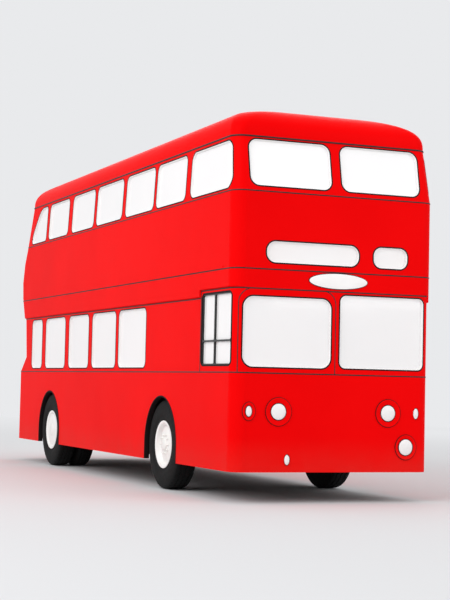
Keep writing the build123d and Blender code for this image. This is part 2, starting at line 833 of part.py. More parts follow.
# Chassis: two rails with bearers under the engine, and cross-members and outriggers between them
member_length = 80
member_depth = 100
bearer_low, bearer_high, bearer_end = 360, beam_top, body_length - 100
bearer_lap = 80
tow_bore_radius = 20
rail_profile = outline([
    (at(wall), rail_bottom), (at(wall), rail_top), (at(bulkhead_station), rail_top),
    (at(bulkhead_station), bearer_high), (at(bearer_end), bearer_high),
    (at(bearer_end), bearer_low), (at(bulkhead_station - bearer_lap), bearer_low),
    (at(bulkhead_station - bearer_lap), rail_bottom),
])
with BuildPart() as chassis_rails:
    for direction in (-1, 1):
        with Locations((direction * rail_x, 0, 0)):
            rail = extrude(rail_profile, amount=rail_width / 2, both=True, mode=Mode.PRIVATE)
            add(rail)
save(chassis_rails, "chassis_rails")

rail_inner, rail_outer = rail_x - rail_width / 2, rail_x + rail_width / 2
# Station of each member's middle, and how far it reaches to the offside and the nearside
member_rows = (
    (wall + member_length / 2, 800, rail_inner),
    (800, inner_half_width, rail_inner),
    (1600, inner_half_width, inner_half_width),
    (3000, inner_half_width, inner_half_width),
    (4700, inner_half_width, inner_half_width),
    (6000, inner_half_width, inner_half_width),
    (bulkhead_station - member_length, inner_half_width, inner_half_width),
)
with BuildPart() as chassis_members:
    for station, offside_reach, nearside_reach in member_rows:
        spans = [(-rail_inner, rail_inner), (-offside_reach, -rail_outer),
                 (rail_outer, nearside_reach)]
        for left, right in spans:
            if right > left:
                with Locations(((left + right) / 2, at(station), rail_top - member_depth / 2)):
                    Box(right - left, member_length, member_depth)
    with Locations((0, at(member_rows[0][0]), rail_top)):
        Cylinder(tow_bore_radius, 4 * member_depth, mode=Mode.SUBTRACT)
save(chassis_members, "chassis_members")

spring_half_length = 600
shackle = 60
leaf_main_top, leaf_end_low = 484, 466
with BuildPart() as leaf_springs:
    for station in (front_axle_station, rear_axle_station):
        y = at(station)
        profile = outline([
            (y - spring_half_length, leaf_end_low), (y - 150, beam_top), (y + 150, beam_top),
            (y + spring_half_length, leaf_end_low), (y + spring_half_length, rail_bottom),
            (y + spring_half_length - shackle, rail_bottom),
            (y + spring_half_length - shackle, leaf_main_top),
            (y - spring_half_length + shackle, leaf_main_top),
            (y - spring_half_length + shackle, rail_bottom), (y - spring_half_length, rail_bottom),
        ])
        for direction in (-1, 1):
            with Locations((direction * rail_x, 0, 0)):
                spring = extrude(profile, amount=rail_width / 2 - 5, both=True, mode=Mode.PRIVATE)
                add(spring)
save(leaf_springs, "leaf_springs")

with BuildPart() as engine_block:
    with Locations((-100, at(body_length - 365), (bearer_high + 1300) / 2)):
        Box(1500, 550, 1300 - bearer_high)
save(engine_block, "engine_block")

tank_start, tank_end, tank_low, tank_high = 3300, 4500, 370, 610
with BuildPart() as fuel_tank:
    with Locations((-(rail_x + rail_width / 2 + 300), at((tank_start + tank_end) / 2),
                    (tank_low + tank_high) / 2)):
        Box(600, tank_end - tank_start, tank_high - tank_low)
    fillet(fuel_tank.edges().filter_by(Axis.Y), 60)
save(fuel_tank, "fuel_tank")

# Axles, knuckles, wheels and tyres
outer_tyre_x = lower_half_width - tyre_face_inset
front_wheel_x = outer_tyre_x - front_tyre_width / 2
rear_wheel_x = outer_tyre_x - twin_tyre_width - twin_gap / 2
twin_offset = (twin_tyre_width + twin_gap) / 2
kingpin_x = front_wheel_x - steer_offset
boss_radius, boss_half = 45, 50
yoke_gap = 5
yoke_arm = 35


def beam_sketch(station, crank_end, reach, end_low, end_high):
    """Front view of a dropped axle beam that cranks up to its ends outside the rails."""
    low = beam_top - beam_drop
    crank_start = rail_x + rail_width / 2 + 20
    half = [(crank_start, low), (crank_end, end_low), (reach, end_low), (reach, end_high),
            (crank_end, end_high), (crank_start, beam_top)]
    with BuildSketch(Plane.XZ.offset(-at(station))) as face:
        with BuildLine():
            Polyline(*half, *[(-x, z) for x, z in half[::-1]], close=True)
        make_face()
    return face.sketch


with BuildPart() as front_axle:
    extrude(beam_sketch(front_axle_station, kingpin_x - 2 * boss_radius, kingpin_x,
                        tyre_radius - boss_half, tyre_radius + boss_half),
            amount=beam_half_depth - 5, both=True)
    with Locations(*[(x, at(front_axle_station), tyre_radius) for x in (-kingpin_x, kingpin_x)]):
        Cylinder(boss_radius, 2 * boss_half)
        Cylinder(kingpin_radius + steer_bore_clearance, 4 * boss_half, mode=Mode.SUBTRACT)
save(front_axle, "front_axle")

rear_beam_end = rear_wheel_x - twin_offset - 50
rear_stub_end = rear_wheel_x + 90
hub_half_height = 60
casing_radius, casing_half = 150, 110
with BuildPart() as rear_axle:
    extrude(beam_sketch(rear_axle_station, rear_beam_end - 80, rear_beam_end,
                        tyre_radius - hub_half_height, tyre_radius + hub_half_height),
            amount=beam_half_depth, both=True)
    with Locations((0, at(rear_axle_station), beam_top - casing_radius / 2)):
        Cylinder(casing_radius, 2 * casing_half, rotation=(0, 90, 0))
    for direction in (-1, 1):
        with Locations((direction * (rear_beam_end + rear_stub_end) / 2, at(rear_axle_station),
                        tyre_radius)):
            Cylinder(rear_stub_radius, rear_stub_end - rear_beam_end, rotation=(0, 90, 0))
save(rear_axle, "rear_axle")

arm_low = tyre_radius - boss_half - yoke_gap - yoke_arm
arm_high = tyre_radius + boss_half + yoke_gap + yoke_arm
yoke_plate_x = boss_radius + yoke_gap
yoke_plate_thickness = 20
brake_plate_radius, brake_plate_thickness = 170, 10
stub_end = 105
for side, direction in (("offside", -1), ("nearside", 1)):
    with BuildPart() as knuckle:
        Cylinder(kingpin_radius, arm_high - arm_low)
        for height in (-1, 1):
            with Locations((0, 0, height * (boss_half + yoke_gap + yoke_arm / 2))):
                Cylinder(boss_radius, yoke_arm)
            with Locations((yoke_plate_x / 2, 0, height * (boss_half + yoke_gap + yoke_arm / 2))):
                Box(yoke_plate_x, 2 * boss_radius, yoke_arm)
        with Locations((yoke_plate_x + yoke_plate_thickness / 2, 0, 0)):
            Box(yoke_plate_thickness, 2 * boss_radius, arm_high - arm_low)
            Cylinder(brake_plate_radius, brake_plate_thickness, rotation=(0, 90, 0))
        with Locations((yoke_plate_x + stub_end / 2, 0, 0)):
            Cylinder(stub_radius, stub_end, rotation=(0, 90, 0))
    knuckle.part = knuckle.part.rotate(Axis.Z, 0 if direction > 0 else 180).moved(
        Location((direction * kingpin_x, at(front_axle_station), tyre_radius)))
    save(knuckle, f"knuckle_{side}")

# Wheel sections: distance outboard of the wheel's middle plane, radius
rim_depth = 15
flange_radius = 290
flange_width = 12
barrel_inner = rim_radius - rim_depth
front_rim_half = front_tyre_width / 2 - 10
front_bore = stub_radius + steer_bore_clearance
hub_start = 55
front_wheel_section = (
    (hub_start, front_bore), (hub_start, 75), (88, 75), (88, 140), (60, barrel_inner),
    (flange_width - front_rim_half, barrel_inner), (-front_rim_half, barrel_inner),
    (-front_rim_half, flange_radius), (flange_width - front_rim_half, flange_radius),
    (flange_width - front_rim_half, rim_radius), (front_rim_half - flange_width, rim_radius),
    (front_rim_half - flange_width, flange_radius), (front_rim_half, flange_radius),
    (front_rim_half, barrel_inner), (74, barrel_inner), (102, 140), (102, 75), (118, 60),
    (front_rim_half, 52), (front_rim_half, 0), (115, 0), (115, front_bore),
)
rear_bore = rear_stub_radius + steer_bore_clearance
rear_rim_half = twin_offset + twin_tyre_width / 2 - 10
inner_flange = twin_offset - twin_tyre_width / 2 + 10
trim_face = rear_rim_half - 20
rear_wheel_section = (
    (-70, rear_bore), (-70, 90), (-10, 90), (-10, barrel_inner), (-rear_rim_half, barrel_inner),
    (-rear_rim_half, flange_radius), (flange_width - rear_rim_half, flange_radius),
    (flange_width - rear_rim_half, rim_radius), (-inner_flange - flange_width, rim_radius),
    (-inner_flange - flange_width, flange_radius), (-inner_flange, flange_radius),
    (-inner_flange, rim_radius), (inner_flange, rim_radius), (inner_flange, flange_radius),
    (inner_flange + flange_width, flange_radius), (inner_flange + flange_width, rim_radius),
    (rear_rim_half - flange_width, rim_radius), (rear_rim_half - flange_width, flange_radius),
    (rear_rim_half, flange_radius), (rear_rim_half, barrel_inner), (trim_face, barrel_inner),
    (trim_face + 8, 90), (trim_face - 4, 90), (trim_face - 12, barrel_inner), (10, barrel_inner),
    (10, 70), (trim_face, 70), (trim_face, 0), (98, 0), (98, rear_bore),
)


def spun(section, middle_x, station, direction):
    """A section turned about a wheel's axis, with its outboard side facing away from the bus."""
    with BuildPart() as solid:
        with BuildSketch(Plane.XY):
            with BuildLine():
                Polyline(*section, close=True)
            make_face()
        revolve(axis=Axis.X)
    return solid.part.rotate(Axis.Z, 0 if direction > 0 else 180).moved(
        Location((direction * middle_x, at(station), tyre_radius)))


def tyre_section(middle, width):
    """Half of a tyre's section: bead, sidewall, shoulder and tread."""
    half = width / 2
    bead = half - 30
    return (
        (middle - bead, rim_radius), (middle - bead - 8, rim_radius + 38),
        (middle - half, rim_radius + 110), (middle - half, rim_radius + 170),
        (middle - half + 12, tyre_radius - 35), (middle - half + 30, tyre_radius - 10),
        (middle - half + 55, tyre_radius), (middle + half - 55, tyre_radius),
        (middle + half - 30, tyre_radius - 10), (middle + half - 12, tyre_radius - 35),
        (middle + half, rim_radius + 170), (middle + half, rim_radius + 110),
        (middle + bead + 8, rim_radius + 38), (middle + bead, rim_radius),
    )


for side, direction in (("offside", -1), ("nearside", 1)):
    with BuildPart() as front_wheel:
        add(spun(front_wheel_section, front_wheel_x, front_axle_station, direction))
    save(front_wheel, f"front_wheel_{side}")
    with BuildPart() as rear_wheel:
        add(spun(rear_wheel_section, rear_wheel_x, rear_axle_station, direction))
    save(rear_wheel, f"rear_wheel_{side}")
    with BuildPart() as front_tyre:
        add(spun(tyre_section(0, front_tyre_width), front_wheel_x, front_axle_station, direction))
    save(front_tyre, f"front_tyre_{side}")
    with BuildPart() as rear_tyre:
        for middle in (-twin_offset, twin_offset):
            add(spun(tyre_section(middle, twin_tyre_width), rear_wheel_x, rear_axle_station,
                     direction))
    save(rear_tyre, f"rear_tyre_{side}")

# Entrance doors: two jack-knife pairs that fold inwards, each a lead leaf on a jamb post
# and a trail leaf on hinges along their outer face
leaf_outer_x = lower_half_width - leaf_setback
leaf_inner_x = leaf_outer_x - leaf_thickness
doorway_middle = (doorway_start + doorway_end) / 2
lead_axis_station = doorway_start + jamb_gap
leaf_reach = (doorway_middle - leaf_gap / 2 - lead_axis_station) / 2
leaf_low, leaf_high = platform_top + leaf_end_gap, doorway_high - leaf_end_gap
post_radius = 9
leaf_frame = 45
leaf_window_low = 900
knee_hinge_heights = (620, 1290, 1960)
knuckle_pitch = knuckle_length + knuckle_gap
for pair, direction in (("front", 1), ("rear", -1)):
    for role, near, far in (
        ("lead", 0, leaf_reach - leaf_gap / 2),
        ("trail", leaf_reach + leaf_gap / 2, 2 * leaf_reach),
    ):
        own = (-knuckle_pitch, knuckle_pitch) if role == "lead" else (0,)
        other = (0,) if role == "lead" else (-knuckle_pitch, knuckle_pitch)
        jamb = at(lead_axis_station if direction > 0
                  else 2 * doorway_middle - lead_axis_station)
        middle_y = jamb + direction * (near + far) / 2
        knee_y = jamb + direction * leaf_reach
        with BuildPart() as leaf:
            with Locations((leaf_inner_x + leaf_thickness / 2, middle_y, (leaf_low + leaf_high) / 2)):
                Box(leaf_thickness, far - near, leaf_high - leaf_low)
            with BuildSketch(Plane.YZ):
                with Locations((middle_y, (leaf_window_low + leaf_high - leaf_frame) / 2)):
                    RectangleRounded(far - near - 2 * leaf_frame,
                                     leaf_high - leaf_frame - leaf_window_low, 40)
            extrude(amount=overall_width, mode=Mode.SUBTRACT)
            if role == "lead":
                with Locations((leaf_inner_x, jamb, (platform_top + doorway_high) / 2)):
                    Cylinder(post_radius, doorway_high - platform_top - 2 * knuckle_gap)
            with Locations(*[(leaf_outer_x, knee_y, z + offset)
                             for z in knee_hinge_heights for offset in other]):
                Cylinder(knuckle_radius + knuckle_room, knuckle_length + 2 * knuckle_gap,
                         mode=Mode.SUBTRACT)
            with Locations(*[(leaf_outer_x, knee_y, z + offset)
                             for z in knee_hinge_heights for offset in own]):
                Cylinder(knuckle_radius, knuckle_length)
        save(leaf, f"door_{pair}_{role}")
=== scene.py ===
# %% [markdown]
# # A double-decker bus
# The object is a full-size red bus with its engine at the back and its entrance in the front
# overhang. The pieces that carry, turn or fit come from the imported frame, in metres, with the front
# facing -Y and the driver on -X. This lesson gives them their finishes, and adds the surfaces that
# give a coachbuilt body its look: the domed roof, beadings, rubber glazing, lamps, wheels, treaded
# tyres and upholstered seats. Nothing from the frame is moved or resized.

# %% Load the frame
import json
import math
import bmesh
import bpy
import numpy as np
from mathutils import Matrix, Vector


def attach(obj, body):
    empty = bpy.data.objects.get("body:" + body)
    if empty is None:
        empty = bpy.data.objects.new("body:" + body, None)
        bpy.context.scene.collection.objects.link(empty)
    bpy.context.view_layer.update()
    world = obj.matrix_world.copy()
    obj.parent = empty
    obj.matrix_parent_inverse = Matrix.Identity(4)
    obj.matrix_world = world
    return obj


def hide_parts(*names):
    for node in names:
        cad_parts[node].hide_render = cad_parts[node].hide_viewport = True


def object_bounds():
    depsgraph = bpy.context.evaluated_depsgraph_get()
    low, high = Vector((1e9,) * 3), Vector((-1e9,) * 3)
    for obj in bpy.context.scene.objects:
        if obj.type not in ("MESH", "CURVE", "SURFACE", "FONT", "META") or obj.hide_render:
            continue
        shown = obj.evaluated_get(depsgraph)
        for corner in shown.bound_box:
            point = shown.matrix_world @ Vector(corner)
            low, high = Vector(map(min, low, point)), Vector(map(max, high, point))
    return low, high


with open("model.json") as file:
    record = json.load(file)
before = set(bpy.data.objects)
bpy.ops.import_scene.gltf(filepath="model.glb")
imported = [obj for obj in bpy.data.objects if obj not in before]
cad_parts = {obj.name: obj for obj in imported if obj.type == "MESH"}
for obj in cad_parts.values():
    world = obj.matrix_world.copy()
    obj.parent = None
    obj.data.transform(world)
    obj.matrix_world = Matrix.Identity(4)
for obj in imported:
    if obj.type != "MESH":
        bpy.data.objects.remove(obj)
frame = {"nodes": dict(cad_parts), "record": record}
cad_low, cad_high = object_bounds()
print("frame box", [round(v, 3) for v in (*cad_low, *cad_high)])

# %% [markdown]
# ## The camera
# The picture was fitted by its vanishing lines and the wheel centres: a long lens, low beside the
# offside front corner. Blender measures a lens against the picture's long side, so the focal length
# in pixels turns into millimetres through the image height.

# %% Camera
IMAGE_HEIGHT_PIXELS, FOCAL_PIXELS, SENSOR_MM = 600, 1512.86, 36
CAMERA_AT = (-7.521, -19.64, 1.292)
YAW, PITCH, ROLL = (math.radians(angle) for angle in (22.291, 3.169, 1.286))


def placed_in_scene(name, data):
    """A new object that holds some data, in the scene."""
    made = bpy.data.objects.new(name, data)
    bpy.context.scene.collection.objects.link(made)
    return made


def make_camera():
    """Looks along yaw from +Y towards +X, pitch above the horizon, with the picture rolled."""
    forward = Vector((math.sin(YAW) * math.cos(PITCH), math.cos(YAW) * math.cos(PITCH),
                      math.sin(PITCH)))
    level_right = forward.cross(Vector((0, 0, 1))).normalized()
    level_up = level_right.cross(forward)
    right = level_right * math.cos(ROLL) + level_up * math.sin(ROLL)
    up = level_up * math.cos(ROLL) - level_right * math.sin(ROLL)
    lens = bpy.data.cameras.new("camera")
    lens.sensor_width = SENSOR_MM
    lens.lens = SENSOR_MM * FOCAL_PIXELS / IMAGE_HEIGHT_PIXELS
    lens.clip_end = 500
    camera = placed_in_scene("camera", lens)
    camera.matrix_world = Matrix.Translation(CAMERA_AT) @ Matrix(
        (right, up, -forward)).transposed().to_4x4()
    bpy.context.scene.camera = camera
    return lens


print("lens", round(make_camera().lens, 2), "mm")

# %% [markdown]
# ## Colours and nodes
# Colours are written as the sRGB hex values that a paint chart gives. Blender mixes light in linear
# values, so one function turns a code into linear. One more adds a node with its settings and
# links. A finish is started with its shader, gets its patterns, and is dressed in them at the end.


# %% Colour, node and finish helpers
def linear(code):
    """A hex colour in linear light: c / 12.92 up to 0.04045, else ((c + 0.055) / 1.055) ^ 2.4."""
    channels = [int(code[i:i + 2], 16) / 255 for i in (1, 3, 5)]
    return tuple(c / 12.92 if c <= 0.04045 else ((c + 0.055) / 1.055) ** 2.4
                 for c in channels) + (1.0,)


def add(tree, kind, *values, out=0, stops=(), **settings):
    """Adds a node and gives one of its outputs. Values fill its open sockets in order, and settings
    with a capital fill sockets by name: by a link, if they are another node's output. Other settings
    are the node's own. stops are a ramp's positions and colours."""
    node = tree.nodes.new("ShaderNode" + kind)
    for name, value in settings.items():
        if name[0].islower():
            setattr(node, name, value)
    fills = list(zip([socket for socket in node.inputs if socket.enabled], values))
    fills += [(node.inputs[name.replace("_", " ")], value) for name, value in settings.items()
              if name[0].isupper()]
    for socket, value in fills:
        if isinstance(value, bpy.types.NodeSocket):
            tree.links.new(value, socket)
        else:
            socket.default_value = value
    if stops:
        elements = node.color_ramp.elements
        for element, (position, colour) in zip(elements, (stops[0], stops[-1])):
            element.position, element.color = position, linear(colour)
        for position, colour in stops[1:-1]:
            elements.new(position).color = linear(colour)
    return node.outputs[out] if node.outputs else node


def fresh_tree(owner):
    """The emptied node tree of a material or a world."""
    owner.use_nodes = True
    owner.node_tree.nodes.clear()
    return owner.node_tree


def finish(name, colour, roughness, **sockets):
    """A new material with one Principled shader. Returns (material, tree, object coordinates)."""
    material = bpy.data.materials.new(name)
    tree = fresh_tree(material)
    shader = add(tree, "BsdfPrincipled", Base_Color=linear(colour), Roughness=roughness, **sockets)
    add(tree, "OutputMaterial", Surface=shader)
    return material, tree, add(tree, "TexCoord", out="Object")


def dress(material, height, depth, **patterns):
    """Links patterns to a finish's sockets, and raises it by a height that is depth metres tall."""
    tree = material.node_tree
    sockets = tree.nodes["Principled BSDF"].inputs
    patterns["Normal"] = add(tree, "Bump", Height=height, Distance=depth)
    for name, pattern in patterns.items():
        tree.links.new(pattern, sockets[name.replace("_", " ")])
    return material


# %% [markdown]
# ## The studio
# A pale floor catches the shadow and fades into a pale surround, so that no horizon shows. The
# lamps are large and soft. The surround that the camera, gloss and glass see comes from the world,
# apart from the light that the bus gets, which is kept at a level where paint renders as written.

# %% Studio
SURROUND, FLOOR_COLOUR = "#E9EAEC", "#DCDDDF"
FLOOR_RADIUS, FADE_START, FADE_END = 300.0, 9.0, 34.0
WORLD_LIGHT = 0.68
# Lamp name, place, power in watts
LAMPS = (
    ("key", (-20, -14, 16), 2600),
    ("offside", (-24, 2, 14), 950),
    ("fill", (16, -22, 12), 1200),
    ("top", (0, 0, 22), 600),
    ("back", (12, 22, 12), 1000),
)
LAMP_SIZE, LAMPS_AIM = 18, Vector((0, 0, 2))


def make_world():
    """Dim white light on the object, and the plain surround for camera, glossy and clear rays."""
    world = bpy.data.worlds.new("surround")
    bpy.context.scene.world = world
    tree = fresh_tree(world)
    rays = add(tree, "LightPath").node.outputs
    seen = add(tree, "Math", rays["Is Camera Ray"], rays["Is Glossy Ray"], operation="MAXIMUM")
    seen = add(tree, "Math", seen, rays["Is Transmission Ray"], operation="MAXIMUM")
    light = add(tree, "Background", (1, 1, 1, 1), WORLD_LIGHT)
    shown = add(tree, "Background", linear(SURROUND), 1.0)
    add(tree, "OutputWorld", add(tree, "MixShader", seen, light, shown))


def make_floor():
    """A disc whose finish fades with distance from the bus into the surround's own colour."""
    turn = np.linspace(0, 2 * np.pi, 96, endpoint=False)
    rim = np.column_stack((FLOOR_RADIUS * np.cos(turn), FLOOR_RADIUS * np.sin(turn), 0 * turn))
    mesh = bpy.data.meshes.new("studio_floor")
    mesh.from_pydata(rim.tolist(), [], [list(range(len(rim)))])
    material = bpy.data.materials.new("studio_floor_paint")
    tree = fresh_tree(material)
    away = add(tree, "VectorMath", add(tree, "TexCoord", out="Object"), out="Value",
               operation="LENGTH")
    fade = add(tree, "MapRange", away, FADE_START, FADE_END, interpolation_type="SMOOTHSTEP")
    matt = add(tree, "BsdfDiffuse", linear(FLOOR_COLOUR))
    glow = add(tree, "Emission", linear(SURROUND))
    add(tree, "OutputMaterial", add(tree, "MixShader", fade, matt, glow))
    mesh.materials.append(material)
    placed_in_scene("studio_floor", mesh)


def make_lamps():
    """Square soft boxes, each turned to the middle of the bus."""
    for name, place, power in LAMPS:
        light = bpy.data.lights.new(name, "AREA")
        light.energy, light.size = power, LAMP_SIZE
        lamp = placed_in_scene(name, light)
        lamp.location = place
        lamp.rotation_euler = (LAMPS_AIM - Vector(place)).to_track_quat("-Z", "Y").to_euler()


make_world()
make_floor()
make_lamps()
bpy.context.scene.view_settings.view_transform = "Standard"

# %% [markdown]
# ## Paint
# The body is sheet aluminium on a frame, sprayed with a red coach enamel and flatted by hand. Close
# to, it isn't one red: the coats vary a little, the sheets are never quite flat, and the film has an
# orange peel. The peel on a real bus is about 3 mm across, too fine for this view, so it is drawn
# ten times as coarse and very shallow. A thin film of road dust greys the lowest panels.

# %% Red coach enamel and plainer paints
ROAD_DUST, DUST_LOW, DUST_HIGH, DUST_SHARE = "#8A6A5C", 0.34, 0.75, 0.14
SHEET_WAVE, PEEL, PEEL_SHARE = 0.55, 0.03, 0.12


def coach_enamel():
    """Red enamel: two close reds by a soft noise, dust near the skirt, peel and sheet waves."""
    material, tree, place = finish("red_coach_enamel", "#F00A0C", 0.36, Specular_IOR_Level=0.01)
    coats = add(tree, "TexNoise", place, 1 / 1.6, 3.0)
    body = add(tree, "ValToRGB", coats, stops=((0.35, "#EE0507"), (0.65, "#F50709")))
    low = add(tree, "MapRange", add(tree, "SeparateXYZ", place, out="Z"), DUST_LOW, DUST_HIGH,
              DUST_SHARE, 0.0, interpolation_type="SMOOTHSTEP")
    dust = add(tree, "Math", low, add(tree, "TexNoise", place, 1 / 0.25, 6.0),
               operation="MULTIPLY")
    dusty = add(tree, "Mix", dust, body, linear(ROAD_DUST), out=2, data_type="RGBA")
    waves = add(tree, "TexNoise", place, 1 / SHEET_WAVE, 1.0)
    peel = add(tree, "MapRange", add(tree, "TexNoise", place, 1 / PEEL, 1.0), To_Max=PEEL_SHARE)
    return dress(material, add(tree, "Math", waves, peel), 0.003, Base_Color=dusty)


def brushed_paint(name, colour, second, roughness, grain=0.05, depth=0.0006, **sockets):
    """A plainer brushed or sprayed paint: two close colours by noise, and a fine uneven film."""
    material, tree, place = finish(name, colour, roughness, **sockets)
    shade = add(tree, "ValToRGB", add(tree, "TexNoise", place, 1 / (grain * 6), 3.0),
                stops=((0.3, colour), (0.7, second)))
    gloss = add(tree, "MapRange", add(tree, "TexNoise", place, 1 / (grain * 2), 3.0),
                To_Min=roughness - 0.06, To_Max=roughness + 0.08)
    return dress(material, add(tree, "TexNoise", place, 1 / grain, 5.0), depth,
                 Base_Color=shade, Roughness=gloss)


enamel = coach_enamel()
chassis_paint = brushed_paint("black_chassis_paint", "#161617", "#26231F", 0.62, 0.02, 0.001)
wheel_enamel = brushed_paint("white_wheel_enamel", "#F9F8F7", "#F1F0EC", 0.34, 0.04, 0.0002,
                             Coat_Weight=0.3)
beading_paint = brushed_paint("dark_beading_enamel", "#1E0404", "#150303", 0.5, 0.02, 0.0002)
trim_black = brushed_paint("black_trim_enamel", "#0B0B0C", "#151516", 0.36, 0.02, 0.0002)
engine_iron = brushed_paint("cast_engine_iron", "#3F4641", "#2E322E", 0.7, 0.012, 0.002)
plate_enamel = brushed_paint("white_plate_enamel", "#FDFBFA", "#F7F5F3", 0.3, 0.05, 0.0001)

# %% [markdown]
# ## Glass and lamps
# The drawing shows every pane as a clean, pale sheet. Real toughened glass looks like that under a
# bright even sky, when its reflection hides the saloon. A pane is made as glass painted mostly pale, a
# painted reflection of that sky: glossy on top, and let through a little so that the seats just read
# behind it.


# %% Glass and lens finishes
def pane_glass(name, colour, hides):
    """Glass painted pale, a painted reflection of a bright sky: a glossy sheet that covers what is
    behind it by the share it hides.
    """
    material, tree, place = finish(name, colour, 0.07, IOR=1.52, Alpha=hides,
                                   Specular_IOR_Level=0.5, Coat_Weight=0.5, Coat_Roughness=0.02)
    # The pane's pale colour is a painted reflection, varied a little by noise.
    tint = add(tree, "ValToRGB", add(tree, "TexNoise", place, 1 / 1.2, 1.0),
               stops=((0.3, colour), (0.7, "#FCFBFB")))
    return dress(material, add(tree, "TexNoise", place, 1 / 0.4, 0.0), 0.0012, Base_Color=tint)


def lens_glass(name, colour, hides, flute):
    """Pressed lens glass with upright flutes across X, flute metres apart."""
    material, tree, place = finish(name, colour, 0.12, IOR=1.5, Alpha=hides, Coat_Weight=0.6,
                                   Coat_Roughness=0.03)
    wave = add(tree, "TexWave", place, 1 / (math.pi * flute), out="Fac")
    # On a clear lens the flutes' crests are painted whiter: a faint painted highlight.
    tint = add(tree, "ValToRGB", wave,
               stops=((0.0, colour), (1.0, "#FFFFFF" if hides < 1 else colour)))
    return dress(material, wave, 0.001, Base_Color=tint)


window_glass = pane_glass("toughened_window_glass", "#FFFDFD", 0.93)
display_pane = pane_glass("display_box_glass", "#FCF7F6", 0.9)
clear_lens = lens_glass("pressed_clear_lens_glass", "#FDFCFC", 0.93, 0.012)
red_lens = lens_glass("moulded_red_lens_acrylic", "#B3070A", 1.0, 0.008)
amber_lens = lens_glass("moulded_amber_lens_acrylic", "#E0730B", 1.0, 0.008)

# %% [markdown]
# ## Rubber, metal and the saloon
# Tyre rubber is a warm black that scatters light, with two blacks varied by noise. Grab rails are
# polished stainless tube, the beading is drawn aluminium under enamel, the floor is ribbed
# rubber-linoleum sheet and the walls are pressed melamine board. A wheel box has the floor's sheet in
# the saloon, and black underseal over its wheel. The seats are covered in moquette, a woven pile in a
# small check; its real pitch of 6 mm is drawn at 24 mm so that it shows at this distance.

# %% Rubber, metal and saloon finishes
AXLES_MIDDLE, AXLES_APART = 0.200, 4.950
# How a wheel box's faces over the wheel differ, from its middle: across, along, up
UNDER_TESTS = (("X", "GREATER_THAN", 0.548), ("Y", "LESS_THAN", 0.585), ("Z", "LESS_THAN", 1.140))
RIB_PITCH, CHECK_PITCH = 0.020, 0.024


def tyre_rubber():
    """Natural black rubber: two blacks by noise, and an uneven gloss by a finer one."""
    material, tree, place = finish("vulcanised_tyre_rubber", "#060606", 0.82,
                                   Specular_IOR_Level=0.25)
    base = add(tree, "ValToRGB", add(tree, "TexNoise", place, 1 / 0.09, 3.0),
               stops=((0.3, "#050505"), (0.75, "#0C0B0B")))
    gloss = add(tree, "MapRange", add(tree, "TexNoise", place, 1 / 0.03, 3.0), To_Min=0.68,
                To_Max=0.9)
    return dress(material, add(tree, "TexNoise", place, 1 / 0.006, 6.0), 0.0008,
                 Base_Color=base, Roughness=gloss)


def rubber(name, colour):
    """Extruded glazing rubber: matt, with a faint draw along the strip."""
    material, tree, place = finish(name, colour, 0.7, Specular_IOR_Level=0.2)
    shade = add(tree, "ValToRGB", add(tree, "TexNoise", place, 1 / 0.2, 3.0),
                stops=((0.3, colour), (0.8, "#140B0B")))
    return dress(material, add(tree, "TexNoise", place, 1 / 0.01, 4.0), 0.0003,
                 Base_Color=shade)


def metal(name, colour, roughness, stretch):
    """Bare metal: a fine grain stretched the way the metal was drawn or brushed."""
    material, tree, place = finish(name, colour, roughness, Metallic=1.0)
    grain = add(tree, "TexNoise", add(tree, "Mapping", place, Scale=stretch), 1 / 0.004, 4.0)
    return dress(material, grain, 0.0001, Roughness=add(
        tree, "MapRange", grain, To_Min=roughness - 0.08, To_Max=roughness + 0.12))


def over_wheel(tree, place):
    """1 on the faces of a wheel box that look down on its wheel, and 0 on its saloon faces."""
    for shift in (AXLES_MIDDLE, AXLES_APART / 2):
        place = add(tree, "VectorMath", place, (0, shift, 0), operation="SUBTRACT")
        place = add(tree, "VectorMath", place, operation="ABSOLUTE")
    axes, under = add(tree, "SeparateXYZ", place).node.outputs, None
    for axis, test, limit in UNDER_TESTS:
        passed = add(tree, "Math", axes[axis], limit, operation=test)
        under = passed if under is None else add(tree, "Math", under, passed,
                                                 operation="MULTIPLY")
    return under


def ribbed_floor(name, wheel_box=False):
    """Linoleum with ribs that run fore and aft, painted darker between them as the shade in their
    grooves. A wheel box wears it in the saloon, and thick black underseal over its wheel."""
    material, tree, place = finish(name, "#5A4A42", 0.7)
    wave = add(tree, "TexWave", place, math.pi / 10 / RIB_PITCH, out="Fac")
    # Darker where the wave is low, between the ribs: painted shade in the grooves.
    shade = add(tree, "ValToRGB", wave, stops=((0.25, "#352C28"), (0.6, "#5E4E45")))
    if wheel_box:
        under = over_wheel(tree, place)
        lumps = add(tree, "TexNoise", place, 1 / 0.02, 5.0)
        seal = add(tree, "ValToRGB", lumps, stops=((0.3, "#0B0A0A"), (0.75, "#1D1A18")))
        shade = add(tree, "Mix", under, shade, seal, out=2, data_type="RGBA")
        wave = add(tree, "Mix", under, wave, lumps)
    return dress(material, wave, 0.002, Base_Color=shade)


def moquette():
    """Woven pile: a check from two crossed waves, red, dark green and sand, with sheen."""
    material, tree, place = finish("wool_moquette", "#7C2A22", 0.92, Sheen_Weight=0.5,
                                   Sheen_Roughness=0.4)
    place = add(tree, "Attribute", out="Vector", attribute_name="weave")
    waves = [add(tree, "TexWave", place, math.pi / 10 / CHECK_PITCH, 0.4, out="Fac",
                 bands_direction=direction) for direction in ("X", "Y")]
    shade = add(tree, "ValToRGB", add(tree, "Math", *waves, operation="MULTIPLY"), stops=(
        (0.0, "#5A1C1A"), (0.35, "#8B2F24"), (0.7, "#B59A6A"), (1.0, "#2F4A35")))
    return dress(material, add(tree, "TexNoise", place, 1 / 0.004, 6.0), 0.0015,
                 Base_Color=shade)


